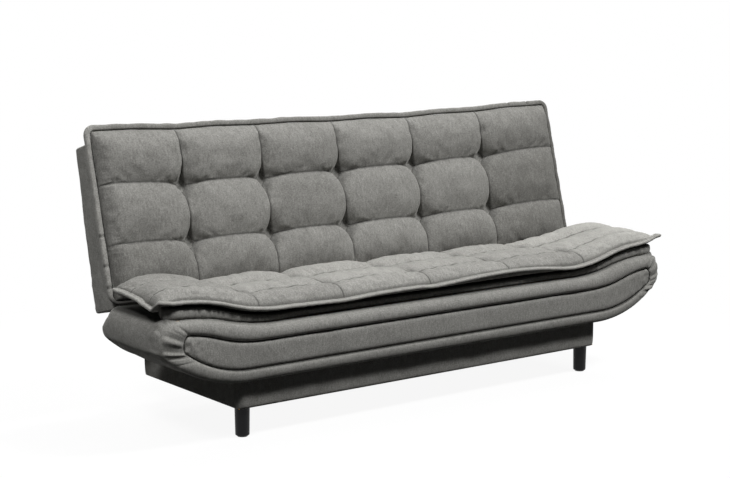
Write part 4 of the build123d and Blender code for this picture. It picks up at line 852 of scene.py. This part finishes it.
def front_panel():
    """Padded boat-shaped panel: at each X a rounded strip from lower seam to upper seam, closed behind."""
    first, last = int(np.argmin(panel[:, 0])), int(np.argmax(panel[:, 0]))
    lower = np.concatenate([panel[first:], panel[:last + 1]])
    upper = panel[last:first + 1][::-1]
    left_tip, right_tip = panel[first, 0], panel[last, 0]
    reach = np.sin(np.linspace(-1, 1, 260) * math.pi / 2)
    x = (left_tip + right_tip) / 2 + (right_tip - left_tip) / 2 * reach
    low = np.interp(x, *lower.T)
    high = np.interp(x, *upper.T)
    share = (1 - np.cos(np.linspace(0, math.pi, 25))) / 2
    z = low[:, None] + share * (high - low)[:, None]
    to_end = np.minimum(x - left_tip, right_tip - x)[:, None]
    to_rim = np.minimum(np.minimum(z - low[:, None], high[:, None] - z), to_end)
    flat = np.stack([np.broadcast_to(x[:, None], z.shape), z], -1)
    near_tip = np.exp(-to_end / 60.0)
    proud = PANEL_PROUD * (1 - np.exp(-to_rim / 5.0)) + 0.6 * ripple(flat, 180.0, 81)
    proud = proud + 1.6 * near_tip * ripple(flat, 26.0, 82) * np.clip(to_rim / 8.0, 0, 1)
    front = np.stack([flat[..., 0], PANEL_FRONT - proud, z], -1)
    behind = np.stack([flat[..., 0], np.full(z.shape, PANEL_BEHIND), z], -1)
    ring = np.concatenate([front, behind[:, ::-1]], 1)
    # Painted shade: a dark line along the seams round the panel's rim
    dark = np.concatenate([np.exp(-(to_rim / 3.0) ** 2), np.zeros(z.shape)], 1)
    faces = grid_quads(ring.shape[0], ring.shape[1], False, True)
    return new_piece("seat_panel_cover", ring, faces, velour, 0.85 * dark, merge=True)


front = front_panel()
fit_out(front, "seat", "grey_velour", "seat_front_panel", fill=0.7)


# Back shell and box cover

def back_shell():
    """Cover of the back frame: rounded rings up the slab, tapering in depth, turned in above and below.

    The cloth puffs out a little midway, and is crumpled most near its lower edge. It has slots at the hinges.
    """
    count = 560
    bend = np.linspace(0, math.pi / 2, 9)
    low, high = BACK_SHELL_LOW, BACK_SHELL_HIGH
    low_depth, high_depth = BACK_SHELL_DEPTH
    middle = np.linspace(low + LOW_TURN, high - HIGH_TURN, 50)[1:-1]
    u = np.concatenate([[low], low + LOW_TURN * (1 - np.sin(bend[::-1])), middle,
                        high - HIGH_TURN * (1 - np.sin(bend))])
    inset = np.concatenate([[24.0], LOW_TURN * (1 - np.cos(bend[::-1])), np.zeros(len(middle)),
                            HIGH_TURN * (1 - np.cos(bend))])
    rows = []
    for level, gap in zip(u, inset):
        rear = -(low_depth - (low_depth - high_depth) * (level - low) / (high - low)) + gap
        loop = round_loop(BACK_SHELL_HALF - gap, BACK_SHELL_FRONT - gap - rear, 9.0, count)
        rows.append(np.stack([loop[:, 0], np.full(count, level), rear + loop[:, 1]], 1))
    spots = np.stack(rows, 1)
    across = spots[..., 2]
    share = np.clip((spots[..., 1] - low) / (high - low), 0, 1)
    near_low = np.exp(-share * 4.5)
    slant = spots[..., 1:2] + 1.2 * spots[..., 2:]
    crumple = 0.9 * ripple(spots, 150.0, 91) + 0.7 * ripple(spots, 60.0, 92)
    pulled = ripple(slant, 30.0, 93) * near_low
    free = np.clip((13.0 - across) / 30.0, 0, 1)
    puff = 4.0 * np.sin(share * math.pi) + 1.0
    push = free * np.maximum(crumple * (0.8 + 1.4 * near_low) + 1.6 * pulled + puff, 0.3)
    side = np.clip((np.abs(spots[..., 0]) - 888.0) / 25.0, 0, 1) * np.sign(spots[..., 0])
    spots[..., 0] += side * push * 0.8
    spots[..., 2] -= (1 - np.abs(side)) * np.clip((-66.0 - across) / 30.0, 0, 1) * push
    points = on_slab(spots[..., 0], spots[..., 1], spots[..., 2])
    faces = grid_quads(count, len(u), True)
    middle_of = spots.reshape(-1, 3)[faces].mean(1)
    hinge = ((np.abs(np.abs(middle_of[:, 0]) - 686.0) < 23.0) & (middle_of[:, 1] < 34.0)
             & (middle_of[:, 2] > -44.0))
    faces = np.concatenate([faces[~hinge], ladder(count, len(u), len(u) - 1)])
    return new_piece("back_shell_cover", points, faces, velour)


shell_back = back_shell()
fit_out(shell_back, "back", "grey_velour", "back_border_cover", "back_rear_cloth", fill=0.9)


def box_cover():
    """Padded cover of the bedding box: a wall with rounded lower edge and rolled rim, carried round it."""
    count = 620
    loop = round_loop(BOX_HALF, BOX_DEPTH, BOX_CORNER, count)
    path = np.stack([loop[:, 0], BOX_FRONT + loop[:, 1], np.zeros(count)], 1)
    outward = outward_of(path, UP)
    out = np.array([-7.8, -7.8, -7.0, -4.0, -1.2, 0.2, 1.2, 1.8, 2.0, 1.6, 0.8, -0.4, -1.8, -4.2, -7.0,
                    -7.8, -7.8])
    tall = np.array([150.0, 92.0, 90.2, 90.6, 93.0, 98.0, 106.0, 120.0, 145.0, 170.0, 188.0, 199.0, 204.5,
                     207.4, 208.3, 207.0, 190.0])
    flat = np.stack(np.broadcast_arrays(path[:, :1], path[:, 1:2], tall[None]), -1)
    crumple = 0.9 * ripple(flat, 170.0, 95) + 0.5 * ripple(flat, 70.0, 96)
    free = np.clip((out + 4.0) / 5.0, 0, 1)
    points = carried(path, outward, UP, out + free * crumple, np.broadcast_to(tall, crumple.shape))
    faces = grid_quads(count, len(out), True, True)
    return new_piece("box_cover", points, faces, velour)


cover = box_cover()
fit_out(cover, "base", "grey_velour", "base_cover", fill=0.9)


def dust_cloth():
    """Thin cloth stretched under the seat: a flat sheet that sags by a few millimetres between the bars."""
    low, high = (np.array(corner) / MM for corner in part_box("seat_dust_cloth"))
    x = np.linspace(low[0], high[0], 140)
    y = np.linspace(low[1], high[1], 36)
    along, across = np.meshgrid(x, y, indexing="ij")
    sag = 2.0 + 1.2 * np.cos(along / 340.0 * 2 * math.pi)
    sag = np.sin((across - low[1]) / (high[1] - low[1]) * math.pi) * sag
    points = np.stack([along, across, high[2] - 0.6 - sag], -1)
    piece = new_piece("dust_cloth_sheet", points, grid_quads(*along.shape), finishes["dust_cloth"])
    thick = piece.modifiers.new("thick", "SOLIDIFY")
    thick.thickness = 0.8 * MM
    return piece, (high[0] - low[0]) * MM, (high[1] - low[1]) * MM


cloth, cloth_long, cloth_wide = dust_cloth()
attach(cloth, "seat")
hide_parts("seat_dust_cloth")


# Floor, light and camera

def white_stage(name, strength):
    """Matt floor, white to the camera and in reflections except for a soft shadow round the sofa, and darker
    to the light that it throws back at it."""
    finish, tree = start(name)
    paths = put(tree, "ShaderNodeLightPath")
    seen = put(tree, "ShaderNodeMath", {0: paths.outputs["Is Camera Ray"], 1: paths.outputs["Is Glossy Ray"]},
               operation="MAXIMUM")
    seen_too = put(tree, "ShaderNodeMath", {0: seen.outputs[0], 1: paths.outputs["Is Transmission Ray"]},
                   operation="MAXIMUM")
    place = put(tree, "ShaderNodeTexCoord").outputs["Object"]
    away = put(tree, "ShaderNodeVectorMath", {0: place}, operation="LENGTH")
    share = put(tree, "ShaderNodeMapRange", {"Value": away.outputs["Value"], "From Min": 0.9, "From Max": 1.9,
                                             "To Min": strength, "To Max": 1.0},
                interpolation_type="SMOOTHSTEP")
    amount = put(tree, "ShaderNodeMath", {0: seen_too.outputs[0], 1: share.outputs[0]},
                 operation="MULTIPLY")
    tone = put(tree, "ShaderNodeMix", {0: seen_too.outputs[0], 6: linear("#2c2c2c"), 7: linear("#f4f4f4")},
               data_type="RGBA")
    matt = put(tree, "ShaderNodeBsdfDiffuse", {"Color": tone.outputs[2]})
    glow = put(tree, "ShaderNodeEmission", {"Color": (1, 1, 1, 1), "Strength": 1.0})
    both = put(tree, "ShaderNodeMixShader", {0: amount.outputs[0], 1: matt.outputs[0], 2: glow.outputs[0]})
    put(tree, "ShaderNodeOutputMaterial", {"Surface": both.outputs[0]})
    return finish


FLOOR_HALF = 9000.0
FLOOR_TOP = -0.5
floor_corners = FLOOR_HALF * np.array([[-1, -1, 0], [1, -1, 0], [1, 1, 0], [-1, 1, 0]])
floor_corners[:, 2] += FLOOR_TOP
ground = new_piece("floor", floor_corners, [[0, 1, 2, 3]], white_stage("matt_white_floor", 0.92))

world = bpy.data.worlds.new("studio")
bpy.context.scene.world = world
world.use_nodes = True
sky = world.node_tree
sky.nodes.clear()
paths = put(sky, "ShaderNodeLightPath")
seen = put(sky, "ShaderNodeMath", {0: paths.outputs["Is Camera Ray"],
                                   1: paths.outputs["Is Transmission Ray"]}, operation="MAXIMUM")
fill = put(sky, "ShaderNodeBackground", {"Color": (1, 1, 1, 1), "Strength": 0.03})
white = put(sky, "ShaderNodeBackground", {"Color": (1, 1, 1, 1), "Strength": 1.0})
both = put(sky, "ShaderNodeMixShader", {0: seen.outputs[0], 1: fill.outputs[0], 2: white.outputs[0]})
put(sky, "ShaderNodeOutputWorld", {"Surface": both.outputs[0]})


def softbox(name, place, aim, wide, tall, power):
    """Rectangular area lamp at a place in metres, pointed at an aim."""
    lamp = bpy.data.lights.new(name, "AREA")
    lamp.shape = "RECTANGLE"
    lamp.size = wide
    lamp.size_y = tall
    lamp.energy = power
    holder = bpy.data.objects.new(name, lamp)
    holder.location = place
    way = np.array(aim) - np.array(place)
    across = math.hypot(way[0], way[1])
    holder.rotation_euler = (math.pi / 2 + math.atan2(way[2], across), 0.0, math.atan2(-way[0], way[1]))
    bpy.context.scene.collection.objects.link(holder)


# Lamps: place and aim in metres, width, height and watts
softbox("key_right", (4.0, -4.3, 7.6), (0.0, -0.1, 0.4), 1.7, 1.5, 730.0)
softbox("above", (0.5, 0.6, 3.4), (0.0, -0.2, 0.4), 2.6, 1.0, 40.0)
softbox("fill_left", (-3.7, -2.0, 3.9), (-0.4, 0.0, 0.4), 0.8, 0.8, 132.0)
softbox("behind", (1.2, 5.2, 3.0), (0.0, 0.3, 0.4), 3.0, 1.6, 330.0)

# Camera where the photo's vanishing points put it: 37 degrees to the left, 9 degrees down
PITCH, YAW = 8.79, 36.99
lens = bpy.data.cameras.new("photo_view")
lens.sensor_width = 36.0
lens.lens = 80.12
view = bpy.data.objects.new("photo_view", lens)
view.location = (-3.17322, -4.14371, 1.29634)
view.rotation_euler = (math.radians(90 - PITCH), 0.0, math.radians(-YAW))
bpy.context.scene.collection.objects.link(view)
bpy.context.scene.camera = view
bpy.context.scene.view_settings.view_transform = "Standard"

bpy.context.view_layer.update()
